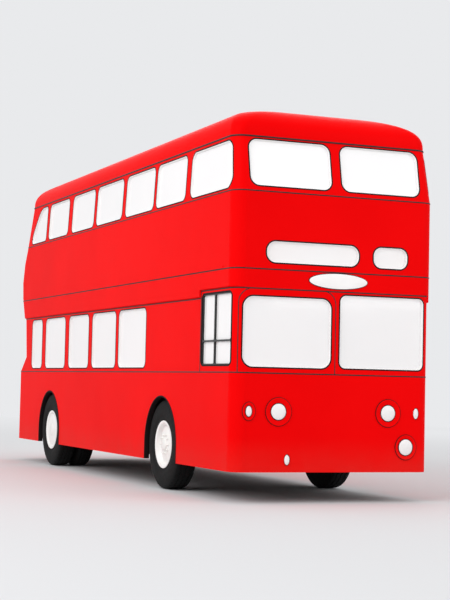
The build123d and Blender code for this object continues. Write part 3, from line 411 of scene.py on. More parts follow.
tyre_finish = tyre_rubber()
glazing_rubber = rubber("extruded_glazing_rubber", "#0A0303")
black_rubber = rubber("moulded_black_rubber", "#0B0909")
stainless = metal("polished_stainless_tube", "#C9CACB", 0.2, (1, 1, 1))
aluminium = metal("drawn_aluminium", "#B4B6B8", 0.34, (1, 0.1, 1))
lino = ribbed_floor("ribbed_floor_linoleum")
box_lino = ribbed_floor("undersealed_wheel_box_linoleum", wheel_box=True)
melamine = brushed_paint("pressed_melamine_board", "#D9D4C6", "#CFC9BA", 0.45, 0.03, 0.0002)
cloth = moquette()
vinyl = brushed_paint("grained_black_vinyl", "#1A1A1B", "#232324", 0.5, 0.01, 0.001)
moulded_plastic = brushed_paint("moulded_black_plastic", "#141415", "#1C1C1D", 0.42, 0.008, 0.0004)

# %% [markdown]
# ## Finishes on the frame
# Most panels keep the shape that the frame gives them. Each node gets the finish of its own trade,
# and the record's slots name the same finishes.

# %% Finishes of the frame's nodes
FINISH_OF_SLOT = {
    "red_paint": enamel, "chassis_paint": chassis_paint, "wheel_paint": wheel_enamel,
    "window_glass": window_glass, "display_glass": display_pane, "lamp_white": clear_lens,
    "lamp_red": red_lens, "tyre": tyre_finish, "engine_iron": engine_iron, "floor_lino": lino,
    "interior_panel": melamine, "seat_cloth": cloth, "black_plastic": moulded_plastic,
    "black_frame": trim_black,
}
slot_of_node = {row["node"]: row["material_slot"] for row in frame["record"]["subparts"]}
for name, node in frame["nodes"].items():
    node.data.materials.clear()
    node.data.materials.append(FINISH_OF_SLOT[slot_of_node[name]])
frame["nodes"]["wheel_housings"].data.materials[0] = box_lino
print(len(slot_of_node), "nodes finished")

# %% [markdown]
# ## Surfaces from arrays
# Every new piece is a grid of points worked out in one go with numpy, then joined into a mesh. A
# profile carried along a path gives beadings, gaskets and rails; a profile turned about an axle
# gives wheels and lamps. Grids that close on themselves are wrapped, poles are welded, and each
# finished mesh has its faces turned outwards.

# %% Grid and mesh helpers
SHARP_ANGLE, WELD = math.radians(38), 0.00002
# Radius that stands for a point on an axis
TIP = 1e-6


def shell(grid, wrap_rows=False, wrap_columns=False, caps=False):
    """A grid of points [row, column, xyz] as (points, faces), with flat ends where caps is set.
    Corner (i, j) joins (i + 1, j), (i + 1, j + 1) and (i, j + 1)."""
    rows, columns = grid.shape[:2]
    i, j = np.meshgrid(np.arange(rows - 1 + wrap_rows), np.arange(columns - 1 + wrap_columns),
                       indexing="ij")
    down, across = (i + 1) % rows, (j + 1) % columns
    faces = np.stack((i * columns + j, down * columns + j, down * columns + across,
                      i * columns + across), axis=-1).reshape(-1, 4).tolist()
    if caps:
        faces += [list(range(columns)), list(range((rows - 1) * columns, rows * columns))]
    return grid.reshape(-1, 3), faces


def piece(name, shells, material, body="root", slot=None, replaces=(), smooth=True, weave=None):
    """Joins shells into one mesh at the origin, welds it, turns it outwards and lets it ride. weave
    is where each point lies on the cloth, for upholstery."""
    points, faces, start = [], [], 0
    for corner_points, corner_faces in shells:
        points.append(corner_points)
        faces += [[start + corner for corner in face] for face in corner_faces]
        start += len(corner_points)
    mesh = bpy.data.meshes.new(name)
    mesh.from_pydata(np.concatenate(points).tolist(), [], faces)
    if weave is not None:
        mesh.attributes.new("weave", "FLOAT_VECTOR", "POINT").data.foreach_set(
            "vector", weave.astype(np.float32).ravel())
    work = bmesh.new()
    work.from_mesh(mesh)
    bmesh.ops.remove_doubles(work, verts=work.verts, dist=WELD)
    bmesh.ops.dissolve_degenerate(work, edges=work.edges, dist=WELD / 4)
    bmesh.ops.recalc_face_normals(work, faces=work.faces)
    work.to_mesh(mesh)
    work.free()
    mesh.materials.append(material)
    if smooth:
        mesh.shade_smooth()
        mesh.set_sharp_from_angle(angle=SHARP_ANGLE)
    made = placed_in_scene(name, mesh)
    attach(made, body)
    if replaces:
        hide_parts(*replaces)
    print(name, len(mesh.polygons), "faces")
    return made


def unit(vectors):
    """Vectors scaled to length 1."""
    return vectors / np.linalg.norm(vectors, axis=-1, keepdims=True)


def directions(path, closed):
    """The way a path runs at each of its points."""
    return unit(np.roll(path, -1, 0) - np.roll(path, 1, 0) if closed else np.gradient(path, axis=0))


def circle(sides):
    """The cosines and sines of evenly spaced angles, once round, as two columns."""
    turn = np.linspace(0, 2 * np.pi, sides, endpoint=False)
    return np.cos(turn)[:, None], np.sin(turn)[:, None]


def carried(path, outward, profile, closed=False):
    """A closed profile carried along a path. Its columns stand outward, and across the path: on a
    closed path, across is inwards to its middle."""
    path, outward = np.asarray(path, float), np.asarray(outward, float)
    across = unit(np.cross(directions(path, closed), outward))
    if closed and across[0] @ (path.mean(0) - path[0]) < 0:
        across = -across
    grid = path[:, None] + profile[:, :1] * outward[:, None] + profile[:, 1:] * across[:, None]
    return shell(grid, wrap_rows=closed, wrap_columns=True, caps=not closed)


def half_round(width, height, root=0.002, steps=7):
    """A D profile: a half ellipse height tall on a foot that sinks root into what carries it."""
    turn = np.linspace(0, np.pi, steps)
    arch = np.column_stack((height * np.sin(turn), width / 2 * np.cos(turn)))
    return np.vstack(([(-root, width / 2)], arch, [(-root, -width / 2)]))


def pipe(path, radius, sides=12, closed=False, origin=(0, 0, 0)):
    """A round tube along a path, kept from twisting by carrying its first frame along."""
    path = np.asarray(path, float) + origin
    along = directions(path, closed)
    frames = [unit(np.cross(along[0], (0, 0, 1) if abs(along[0][2]) < 0.9 else (1, 0, 0)))]
    for direction in along[1:]:
        last = frames[-1]
        frames.append(unit(last - direction * (last @ direction)))
    side = np.array(frames)
    cosines, sines = circle(sides)
    ring = radius * (cosines * side[:, None] + sines * np.cross(along, side)[:, None])
    return shell(path[:, None] + ring, wrap_rows=closed, wrap_columns=True, caps=not closed)


def turned(profile, centre, axis, sides=64, closed=False):
    """A profile turned about an axis. Its columns are the distance along the axis and the radius."""
    profile, axis = np.asarray(profile, float), unit(np.asarray(axis, float))
    up = np.array((0, 0, 1.0) if abs(axis[2]) < 0.9 else (0, 1.0, 0))
    cosines, sines = circle(sides)
    ring = cosines * unit(np.cross(up, axis)) + sines * up
    grid = np.asarray(centre, float) + profile[:, :1] * axis + profile[:, 1:] * ring[:, None]
    return shell(grid, wrap_rows=True, wrap_columns=closed)


def rounded_corners(corners, radius, steps=6, spacing=None):
    """A polygon with its corners turned to arcs that meet both of their edges, and its long edges
    cut up so that no step is over the spacing. The radius may be a row, one for each corner."""
    corners = np.asarray(corners, float)
    radius = np.broadcast_to(radius, len(corners)).astype(float)
    before = unit(np.roll(corners, 1, 0) - corners)
    after = unit(np.roll(corners, -1, 0) - corners)
    half = np.arccos(np.clip(np.sum(before * after, 1), -1, 1)) / 2
    centre = corners + unit(before + after) * (radius / np.sin(half))[:, None]
    reach = (radius / np.tan(half))[:, None]
    first, last = corners + before * reach - centre, corners + after * reach - centre
    share = np.linspace(0, 1, steps)[None, :, None]
    arc = unit(first[:, None] * (1 - share) + last[:, None] * share) * radius[:, None, None]
    path = (centre[:, None] + arc).reshape(-1, 2)
    if spacing is None:
        return path
    cut = []
    for start, end in zip(path, np.roll(path, -1, 0)):
        count = max(1, math.ceil(np.linalg.norm(end - start) / spacing))
        cut += [start + (end - start) * k / count for k in range(count)]
    return np.array(cut)


def rectangle(left, right, low, high):
    """The corners of a rectangle, in order."""
    return ((left, low), (right, low), (right, high), (left, high))


def block(x0, x1, y0, y1, z0, z1, bevel=0.004):
    """A box with its upright edges rounded, and its top and bottom edges bevelled."""
    ring = rounded_corners(rectangle(x0, x1, y0, y1), bevel, steps=4)
    middle, grid = ring.mean(0), []
    for z, inset in ((z0, bevel), (z0 + bevel, 0), (z1 - bevel, 0), (z1, bevel)):
        shrink = 1 - inset / np.array(((x1 - x0) / 2, (y1 - y0) / 2))
        grid.append(np.column_stack((middle + (ring - middle) * shrink, np.full(len(ring), z))))
    return shell(np.array(grid), wrap_columns=True, caps=True)


def brick(centre, halves, z0, z1, bevel=0.004):
    """A box round a centre (x, y), of given half sides, from one height to another."""
    (x, y), (wide, long) = centre, halves
    return block(x - wide, x + wide, y - long, y + long, z0, z1, bevel)


# %% [markdown]
# ## The shape of the body
# The body is a box with rounded corners whose front leans back above the upper waist and whose tail
# tucks in over the engine. One table of sections holds that shape, and the same functions place
# every beading, gasket and lamp, so that they all lie on the panels.

# %% Body sections
LAMP_PROUD, CORNER, LOWER_HALF, WALL = 0.020, 0.150, 1.217, 0.060
FRONT_Y, TAIL_Y = cad_low.y + LAMP_PROUD, cad_high.y - LAMP_PROUD
BODY_LENGTH = TAIL_Y - FRONT_Y
# Height, lean of the front, tuck of the tail, half width
BODY_SECTIONS = np.array((
    (0.340, 0.000, 0.000, 1.217),
    (1.425, 0.000, 0.000, 1.217),
    (1.650, 0.000, 0.320, 1.217),
    (2.266, 0.000, 0.240, 1.217),
    (2.276, 0.000, 0.237, 1.242),
    (2.600, 0.000, 0.100, 1.242),
    (2.850, 0.000, 0.070, 1.242),
    (3.150, 0.000, 0.160, 1.242),
    (3.410, 0.000, 0.330, 1.242),
    (4.029, 0.125, 0.530, 1.209),
))
HEIGHT, LEAN, TUCK, HALF = range(4)


def section(height, column):
    """A column of the section table, read in straight lines between its rows."""
    return np.interp(height, BODY_SECTIONS[:, HEIGHT], BODY_SECTIONS[:, column])


def slope(height, column):
    """How fast a column grows with height."""
    return (section(height + 0.002, column) - section(height - 0.002, column)) / 0.004


def corner_sag(distance):
    """How far a corner has curved away at a distance past the flat: r - sqrt(r^2 - d^2)."""
    past = np.clip(distance, 0, CORNER * 0.98)
    return CORNER - np.sqrt(CORNER**2 - past**2), np.arcsin(past / CORNER)


def side_surface(points, side, half_width=None):
    """Points (station, height) on a side wall, with the wall's outward direction. side is -1 or 1."""
    station, height = np.asarray(points, float).T
    half = section(height, HALF) if half_width is None else half_width
    front_sag, front_turn = corner_sag(CORNER - (station - section(height, LEAN)))
    rear_sag, rear_turn = corner_sag(CORNER - (BODY_LENGTH - section(height, TUCK) - station))
    place = np.column_stack((side * (half - front_sag - rear_sag), FRONT_Y + station, height))
    lean = slope(height, HALF) if half_width is None else 0 * height
    turn = rear_turn - front_turn
    return place, unit(np.column_stack((side * np.cos(turn), np.sin(turn), -lean)))


def front_surface(points, half_width=None):
    """Points (x, height) on the front, round its corners too."""
    x, height = np.asarray(points, float).T
    half = section(height, HALF) if half_width is None else half_width
    sag, turn = corner_sag(np.abs(x) - (half - CORNER))
    place = np.column_stack((x, FRONT_Y + section(height, LEAN) + sag, height))
    turn = turn * np.sign(x)
    return place, unit(np.column_stack((np.sin(turn), -np.cos(turn), slope(height, LEAN))))


def rear_surface(points):
    """Points (x, height) on the tail."""
    x, height = np.asarray(points, float).T
    place = np.column_stack((x, TAIL_Y - section(height, TUCK), height))
    return place, unit(np.column_stack((0 * x, 1 + 0 * x, slope(height, TUCK))))


def corner_arcs(half, front, tail, radius, steps=10):
    """The quarter circles of a rounded rectangle, as (points, outward directions): offside front,
    nearside front, nearside tail, offside tail."""
    arcs = []
    for x, y, quarter in ((radius - half, front + radius, 2), (half - radius, front + radius, 3),
                          (half - radius, tail - radius, 0), (radius - half, tail - radius, 1)):
        turn = (quarter + np.linspace(0, 1, steps)) * np.pi / 2
        out = np.column_stack((np.cos(turn), np.sin(turn)))
        arcs.append((out * radius + (x, y), out))
    return arcs


# Places of these runs in the path; the front is run 1
OFFSIDE_RUN, NEARSIDE_RUN, TAIL_RUN = 0, 2, 3


def girdle(height, start=None, end=None, half_width=None):
    """A level path round the body: offside, front, nearside, tail. Whole when no ends are given. An
    end is a run and a place on it: a station on a side, an x on the front or tail."""
    half = section(height, HALF) if half_width is None else half_width
    front, tail = FRONT_Y + section(height, LEAN), TAIL_Y - section(height, TUCK)
    runs = (lambda v: ((-half, FRONT_Y + v), (-1, 0)), lambda v: ((v, front), (0, -1)),
            lambda v: ((half, FRONT_Y + v), (1, 0)), lambda v: ((v, tail), (0, 1)))
    arcs = corner_arcs(half, front, tail, CORNER)
    if start is not None:
        arcs = [arcs[(start[0] + k) % 4] for k in range((end[0] - start[0]) % 4)]
        ends = [[np.array((value,)) for value in runs[run](at)] for run, at in (start, end)]
        arcs = [ends[0], *arcs, ends[1]]
    places, outward = (np.concatenate(rows) for rows in zip(*arcs))
    return np.insert(places, 2, height, axis=1), np.insert(outward, 2, 0, axis=1)


# %% [markdown]
# ## The roof
# The roof is one dome with a flat crown: a superellipse across the bus, and softer at the tail than
# over the driver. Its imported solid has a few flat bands, so a smooth skin stands in for it. Each
# ring is a rounded rectangle whose width shrinks as cos(t)^(2/n) while it climbs as sin(t)^(2/n),
# which is the superellipse of squareness n in two halves.

# %% Roof
ROOF_TOP, GUTTER, ROOF_SQUARENESS = cad_high.z - 0.0006, 4.029, 2.9
FRONT_DOME, REAR_DOME, CROWN_CORNER, ROOF_RINGS = 1.2, 1.5, 0.5, 40


def roof_skin(inset):
    """The dome's rings from the gutter to the crown, for its outside or moved in by an inset."""
    grid = []
    for t in np.linspace(0, np.pi / 2, ROOF_RINGS):
        width = max(np.cos(t), TIP) ** (2 / ROOF_SQUARENESS)
        height = GUTTER + (ROOF_TOP - GUTTER - inset) * np.sin(t) ** (2 / ROOF_SQUARENESS)
        half = (section(GUTTER, HALF) - inset) * width
        start = FRONT_Y + section(GUTTER, LEAN) + inset + FRONT_DOME * (1 - width)
        end = TAIL_Y - section(GUTTER, TUCK) - inset - REAR_DOME * (1 - width)
        radius = min(CORNER - inset + CROWN_CORNER * (1 - width), 0.9 * half)
        ring = np.concatenate([points for points, _ in corner_arcs(half, start, end, radius)])
        grid.append(np.insert(ring, 2, height, axis=1))
    return np.array(grid)


piece("roof_dome", [shell(np.concatenate((roof_skin(0.0)[::-1], roof_skin(WALL))),
                          wrap_columns=True, caps=True)],
      enamel, slot="red_paint", replaces=["roof"])

# %% [markdown]
# ## Beadings
# The drawing's thin dark lines are the beadings that cover the joints between the panels. They are
# half-round strips: 20 mm wide along the gutter, and 14 mm under the upper windows, at the deck
# line, over the lower windows, at the waist and up behind the cab. A 10 mm one frames the left
# windscreen. The engine lid carries its own length of the waist.

# %% Beadings
BEAD, GUTTER_BEAD = half_round(0.014, 0.0045), half_round(0.020, 0.010)
DECK_LINE, UPPER_WAIST, WAIST = 2.556, 3.410, 1.419
SALOON_BAND, CAB_BAND, CAB_END, SKIRT = 2.259, 2.341, 1.000, 0.340
COVER_HALF, LID_GAP = 0.900, 0.006
DOOR_ENDS = (0.262, 1.478)
SCREEN_LEFT, SCREEN_RIGHT, SCREEN_CORNER = -1.161, 0.0, 0.15


def straight(surface, start, end, steps=12):
    """A straight line between two points on a surface, as (places, outward directions)."""
    share = np.linspace(0, 1, steps)[:, None]
    return surface(np.array(start) * (1 - share) + np.array(end) * share)


def on_side(side, half_width=None):
    """A side wall's surface with its side chosen."""
    return lambda points: side_surface(points, side, half_width)


def on_cab_front(points):
    """The lower front, whose corners keep the lower width."""
    return front_surface(points, LOWER_HALF)


def make_beadings():
    """All fixed beadings in one piece, and the length on the engine lid."""
    strips = [carried(*girdle(height), profile, closed=True)
              for height, profile in ((GUTTER, GUTTER_BEAD), (UPPER_WAIST, BEAD), (DECK_LINE, BEAD))]
    strips += [carried(*path, BEAD) for path in (
        girdle(SALOON_BAND, (NEARSIDE_RUN, 0.155), (OFFSIDE_RUN, CAB_END)),
        girdle(CAB_BAND, (OFFSIDE_RUN, CAB_END), (NEARSIDE_RUN, 0.156), LOWER_HALF),
        girdle(WAIST, (TAIL_RUN, -COVER_HALF - LID_GAP), (NEARSIDE_RUN, DOOR_ENDS[0])),
        girdle(WAIST, (NEARSIDE_RUN, DOOR_ENDS[1]), (TAIL_RUN, COVER_HALF + LID_GAP)),
        straight(on_side(-1, LOWER_HALF), (CAB_END, WAIST), (CAB_END, CAB_BAND)),
    )]
    turn, radius = np.linspace(0, np.pi / 2, 10), SCREEN_CORNER
    climb, top = np.linspace(WAIST, CAB_BAND - radius, 10), CAB_BAND - radius
    left, right = SCREEN_LEFT + radius, SCREEN_RIGHT - radius
    arch = np.vstack((
        np.column_stack((np.full(10, SCREEN_LEFT), climb)),
        np.column_stack((left - radius * np.cos(turn), top + radius * np.sin(turn)))[1:],
        np.column_stack((right + radius * np.sin(turn), top + radius * np.cos(turn))),
        np.column_stack((np.full(10, SCREEN_RIGHT), climb[::-1]))[1:]))
    strips.append(carried(*on_cab_front(arch), half_round(0.010, 0.0035)))
    piece("body_beadings", strips, beading_paint)
    end = COVER_HALF - 2 * LID_GAP
    piece("cover_beading", [carried(*straight(rear_surface, (-end, WAIST), (end, WAIST)), BEAD)],
          beading_paint, body="engine_cover")


make_beadings()

# %% [markdown]
# ## Glazing rubber
# The drawing outlines each pane with one thin dark line. A thin rubber lip, 3.5 mm proud, covers the
# panel's edge, and inside it a white enamelled frame runs back to the glass, so that only the lip
# reads as a line. Their sections are carried round every opening on the same surfaces that carry
# the panels. The cab's side window and the doors have a whole dark strip instead.

# %% Window tables and gaskets
UPPER_LOW, UPPER_HIGH, LOWER_LOW, LOWER_HIGH = 3.443, 3.984, 1.471, 2.226
UPPER_SPANS = ((1.540, 2.570), (2.660, 3.765), (3.900, 5.035), (5.155, 6.225), (6.420, 7.460))
LOWER_SPANS = ((2.880, 3.970), (4.090, 5.140), (5.305, 6.275), (6.470, 7.525), (7.730, 8.320))
NEARSIDE_SPAN, SIDE_RADII = (1.640, 2.740), (0.075, 0.092)
CAB_PANE = rectangle(0.100, 0.977, 1.492, 2.308)
# Corners, radius of the panel's cut, radius shown
NOSE_PANE = (((0.100, UPPER_LOW), (1.385, UPPER_LOW), (1.385, UPPER_HIGH), (0.205, UPPER_HIGH)),
             0.060, 0.115)
TAIL_PANE = (((7.600, UPPER_LOW), (8.440, UPPER_LOW), (8.390, 3.600), (8.000, UPPER_HIGH),
              (7.600, UPPER_HIGH)), 0.060, (0.060, 0.070, 0.400, 0.440, 0.075))
FRONT_PANES = (
    (rectangle(-1.055, -0.061, 3.469, 3.998), 0.060, 0.105),
    (rectangle(0.061, 1.055, 3.469, 3.998), 0.060, 0.105),
    (rectangle(-0.856, 0.282, 2.628, 2.869), 0.110, 0.110),
    (rectangle(0.460, 0.898, 2.628, 2.869), 0.100, 0.100),
)
WINDSCREENS = (
    (rectangle(-1.119, -0.051, 1.481, 2.257), 0.120, 0.120),
    (rectangle(0.051, 1.119, 1.488, 2.307), 0.060, 0.075),
)
REAR_PANE = (rectangle(-0.700, 0.700, 1.740, 2.190), 0.090, 0.090)
# Corners and radius of the emergency window's pane
EXIT_PANE = (rectangle(-0.460, 0.460, 3.500, 3.925), 0.050)
# Sections: outward from the panel, inwards over the pane
GASKET = np.array(((-0.0262, 0.0115), (0.0015, 0.0115), (0.0035, 0.008), (0.0035, -0.0035),
                   (0.001, -0.0075), (-0.002, -0.0075)))
LIP = np.array(((-0.004, -0.0110), (0.0015, -0.0110), (0.0035, -0.0080), (0.0035, 0.0015),
                (0.001, 0.0045), (-0.004, 0.0045)))
PANE_FRAME = np.array(((-0.0262, 0.0003), (0.0005, 0.0003), (0.0005, 0.0085), (-0.0262, 0.0115)))
FILLET_LAP, FILLET_BACK, FILLET_PROUD = 0.0015, 0.0255, 0.0004


def gasket(surface, corners, shown, section_of_strip):
    """A strip of a section round one opening of a surface."""
    return carried(*surface(rounded_corners(corners, shown, 10, 0.09)), section_of_strip,
                   closed=True)


def gussets(surface, corners, cut, shown, steps=8):
    """Flush fillets of panel that round an opening's corners from the cut radius to the one shown.
    Each lies between two arcs that meet the same two edges, and laps a little over the panel."""
    fillets = []
    inner, outer = (rounded_corners(corners, radius, steps).reshape(len(corners), steps, 2)
                    for radius in (shown, cut))
    for arc, edge, radius in zip(inner, outer, np.broadcast_to(shown, len(corners))):
        if radius <= cut + 0.005:
            continue
        chord = arc[-1] - arc[0]
        away = np.array((chord[1], -chord[0])) / np.linalg.norm(chord) * FILLET_LAP
        place, out = surface(np.vstack((arc, arc[-1:] + away, edge[::-1] + away, arc[:1] + away)))
        fillets.append(shell(np.array((place - out * FILLET_BACK, place + out * FILLET_PROUD)),
                             wrap_columns=True, caps=True))
    return fillets


def openings():
    """Every fixed opening but the cab's side window, as (surface, corners, cut, shown)."""
    rows = []
    for side in (-1, 1):
        panes = [(rectangle(*span, UPPER_LOW, UPPER_HIGH), *SIDE_RADII) for span in UPPER_SPANS]
        panes += [NOSE_PANE, TAIL_PANE]
        panes += [(rectangle(*span, LOWER_LOW, LOWER_HIGH), *SIDE_RADII) for span in LOWER_SPANS]
        rows += [(on_side(side), *pane) for pane in panes]
    rows.append((on_side(1), rectangle(*NEARSIDE_SPAN, LOWER_LOW, LOWER_HIGH), *SIDE_RADII))
    rows += [(front_surface, *pane) for pane in FRONT_PANES]
    rows += [(on_cab_front, *pane) for pane in WINDSCREENS]
    return rows + [(rear_surface, *REAR_PANE)]


for name, section_of_strip, material in (("strips", LIP, glazing_rubber),
                                         ("frames", PANE_FRAME, plate_enamel)):
    piece("glazing_" + name, [gasket(surface, corners, shown, section_of_strip)
                              for surface, corners, _, shown in openings()], material)
    piece("exit_glazing_" + name, [gasket(rear_surface, *EXIT_PANE, section_of_strip)], material,
          body="emergency_window")
piece("pane_corners", [fillet for row in openings() for fillet in gussets(*row)], enamel,
      smooth=False)
piece("cab_glazing_strip", [gasket(on_side(-1, LOWER_HALF), CAB_PANE, 0.060, GASKET)],
      black_rubber)

# %% [markdown]
# ## Doors
# The four leaves are frames without panes. Each gets its glass and strip, and the two trailing
# leaves, which meet in the middle, get a rubber nosing and a grab rail. All of it rides on its leaf.

# %% Door glass, nosings and rails
LEAF_OUTER, LEAF_INNER, LEAF_LOW, LEAF_HIGH = 1.207, 1.172, 0.408, 2.182
LEAF_PANE, LEAF_PANE_RADIUS, PANE_BACK, PANE_THICK = (0.900, 2.137), 0.040, 0.020, 0.006
# Leaf, first and last station of its pane, station of its meeting edge, way to the other pair
LEAVES = (
    ("front_lead", 0.329, 0.5245, None, 1),
    ("front_trail", 0.6245, 0.820, 0.865, 1),
    ("rear_lead", 1.2155, 1.411, None, -1),
    ("rear_trail", 0.920, 1.1155, 0.875, -1),
)


def make_leaf(name, start, end, edge, way):
    """Glass and strip for one leaf, and on a trailing leaf its nosing and rail."""
    body = "door_" + name
    outline = rounded_corners(rectangle(start, end, *LEAF_PANE), LEAF_PANE_RADIUS)
    outline = np.insert(outline + (FRONT_Y, 0), 0, LEAF_OUTER, axis=1)
    outward = np.tile((1.0, 0, 0), (len(outline), 1))
    piece(name + "_strip", [carried(outline, outward, GASKET, closed=True)], glazing_rubber,
          body=body)
    glass = np.array([outline - (PANE_BACK + depth, 0, 0) for depth in (0, PANE_THICK)])
    piece(name + "_pane", [shell(glass, wrap_columns=True, caps=True)], window_glass, body=body,
          slot="window_glass", smooth=False)
    if edge is None:
        return
    nosing = [(LEAF_OUTER - 0.0175 + 0.0150 * math.cos(t),
               FRONT_Y + edge + way * 0.0042 * math.sin(t)) for t in np.linspace(0, math.pi, 9)]
    grid = np.array([[(*spot, z) for spot in nosing] for z in (LEAF_LOW + 0.01, LEAF_HIGH - 0.01)])
    piece(name + "_nosing", [shell(grid, wrap_columns=True, caps=True)], black_rubber, body=body)
    rail = [(0.002, 0, 1.55), (-0.030, 0, 1.55), (-0.038, 0, 1.535), (-0.038, 0, 1.015),
            (-0.030, 0, 1.0), (0.002, 0, 1.0)]
    rail_y = FRONT_Y + (end + 0.022 if way > 0 else start - 0.022)
    piece(name + "_rail", [pipe(rail, 0.011, origin=(LEAF_INNER, rail_y, 0))], stainless,
          body=body)


for row in LEAVES:
    make_leaf(*row)

# %% [markdown]
# ## Front lamps
# The drawing gives each headlamp a red dished bezel with a dark line at its rim and a second round
# the white lens. The rings below run from the panel over the lip and down the dish. The lens is half
# an ellipsoid that reaches the 20 mm the frame allows.

# %% Front lamps and oval plate
# Centre x, height, bezel half width and half height, lens half width and half height
FRONT_LAMPS = (
    (-0.676, 1.000, 0.155, 0.155, 0.092, 0.092),
    (0.676, 1.000, 0.155, 0.155, 0.092, 0.092),
    (-1.030, 1.000, 0.077, 0.100, 0.038, 0.060),
    (1.030, 1.000, 0.040, 0.070, 0.034, 0.062),
    (0.907, 0.620, 0.133, 0.140, 0.090, 0.093),
    (-0.566, 0.476, 0.040, 0.065, 0.034, 0.058),
)
# Centre x, height, half width and half height
PLATE = (0.025, 2.457, 0.3575, 0.0825)
OUTLINE = 0.0045


def ovals(rings, centre, way, sides=56):
    """Ovals joined in order along Y: each ring is (distance, half width, half height). way is -1 on
    the front and 1 on the tail."""
    cosines, sines = circle(sides)
    along, wide, high = np.split(np.asarray(rings, float)[:, None], 3, axis=-1)
    around = (wide * cosines, way * along + 0 * cosines, high * sines)
    return shell(np.concatenate(around, axis=-1) + centre, wrap_columns=True)


def torus(wide, high, lift, radius, centre, way, steps=8):
    """A round bead along an oval, lift from the panel."""
    turn = np.linspace(0, 2 * np.pi, steps + 1)
    out = radius * np.cos(turn)
    return ovals(np.column_stack((lift + radius * np.sin(turn), wide + out, high + out)), centre, way)


def dome(wide, high, start, top, centre, way, steps=10):
    """Half an ellipsoid on an oval foot."""
    turn = np.linspace(0, np.pi / 2, steps)
    foot = np.maximum(np.outer(np.cos(turn), (wide, high)), TIP)
    return ovals(np.insert(foot, 0, start + (top - start) * np.sin(turn), axis=1), centre, way)


def make_front_lamps():
    """Bezels, dark lines and lenses of the six front lamps."""
    bezels, lines, lenses = [], [], []
    for x, z, wide, high, lens_wide, lens_high in FRONT_LAMPS:
        centre = (x, FRONT_Y, z)
        margin = wide - lens_wide
        lip, foot = min(0.012, margin * 0.4), min(0.006, margin * 0.4)
        bezels.append(ovals(
            [(-0.012, wide, high), (0.006, wide, high), (0.0105, wide - 0.002, high - 0.002),
             (0.012, wide - lip / 2, high - lip / 2), (0.0105, wide - lip, high - lip),
             (0.002, lens_wide + foot, lens_high + foot),
             (0.001, lens_wide - 0.002, lens_high - 0.002)], centre, -1))
        if margin > 0.02:
            lines.append(torus(wide, high, 0.006, OUTLINE, centre, -1))
        lines.append(torus(lens_wide, lens_high, 0.004, OUTLINE, centre, -1))
        lenses.append(dome(lens_wide - 0.001, lens_high - 0.001, 0.002, LAMP_PROUD, centre, -1))
    piece("lamp_bezels", bezels, enamel, slot="red_paint")
    piece("lamp_lines", lines, glazing_rubber)
    piece("lamp_lenses", lenses, clear_lens, slot="lamp_white", replaces=["front_lamps"])


def make_plate():
    """The oval plate: a flat enamel face over the frame's plate, with a dark rolled edge."""
    x, z, wide, high = PLATE
    centre = (x, FRONT_Y, z)
    face = [(0.0, wide + 0.001, high + 0.001), (0.0082, wide + 0.001, high + 0.001),
            (0.0095, wide - 0.004, high - 0.004), (0.0098, wide * 0.5, high * 0.5),
            (0.0098, TIP, TIP)]
    piece("oval_plate_face", [ovals(face, centre, -1, 72)], plate_enamel)
    piece("oval_plate_rim", [torus(wide + 0.004, high + 0.004, 0.003, 0.006, centre, -1)],
          beading_paint)


make_front_lamps()
make_plate()

# %% [markdown]
# ## Rear lamps
# Three round lamps stand at each rear corner: amber over two red, each a fluted lens in a bright rim.

# %% Rear lamps
# Distance from the middle, then the radii of the rim's bead and of the lens
REAR_LAMP_X, REAR_RIM, REAR_LENS = 0.985, 0.044, 0.042


def make_rear_lamps():
    """Lenses and rims of the six rear lamps."""
    rims, reds, ambers = [], [], []
    for x in (-REAR_LAMP_X, REAR_LAMP_X):
        for z, lenses in ((0.820, reds), (0.950, reds), (1.080, ambers)):
            centre = (x, TAIL_Y, z)
            rims.append(torus(REAR_RIM, REAR_RIM, 0.004, 0.004, centre, 1))
            lenses.append(dome(REAR_LENS, REAR_LENS, -0.001, LAMP_PROUD, centre, 1))
    piece("rear_lamp_rims", rims, aluminium)
    piece("rear_lamp_lenses", reds, red_lens, slot="lamp_red", replaces=["rear_lamps"])
    piece("rear_turn_lenses", ambers, amber_lens)


make_rear_lamps()

# %% [markdown]
# ## Wheels
# Wheels are turned sections, like the frame's, but smooth: a rolled rim flange, the drop behind it, a
# dished disc and a hub cap. The front discs carry a ring of nuts. A rear section spans the rims of
# two tyres, and its disc lies near the outer one. Each section is given as the distance outboard of
# the wheel's middle plane, and the radius.

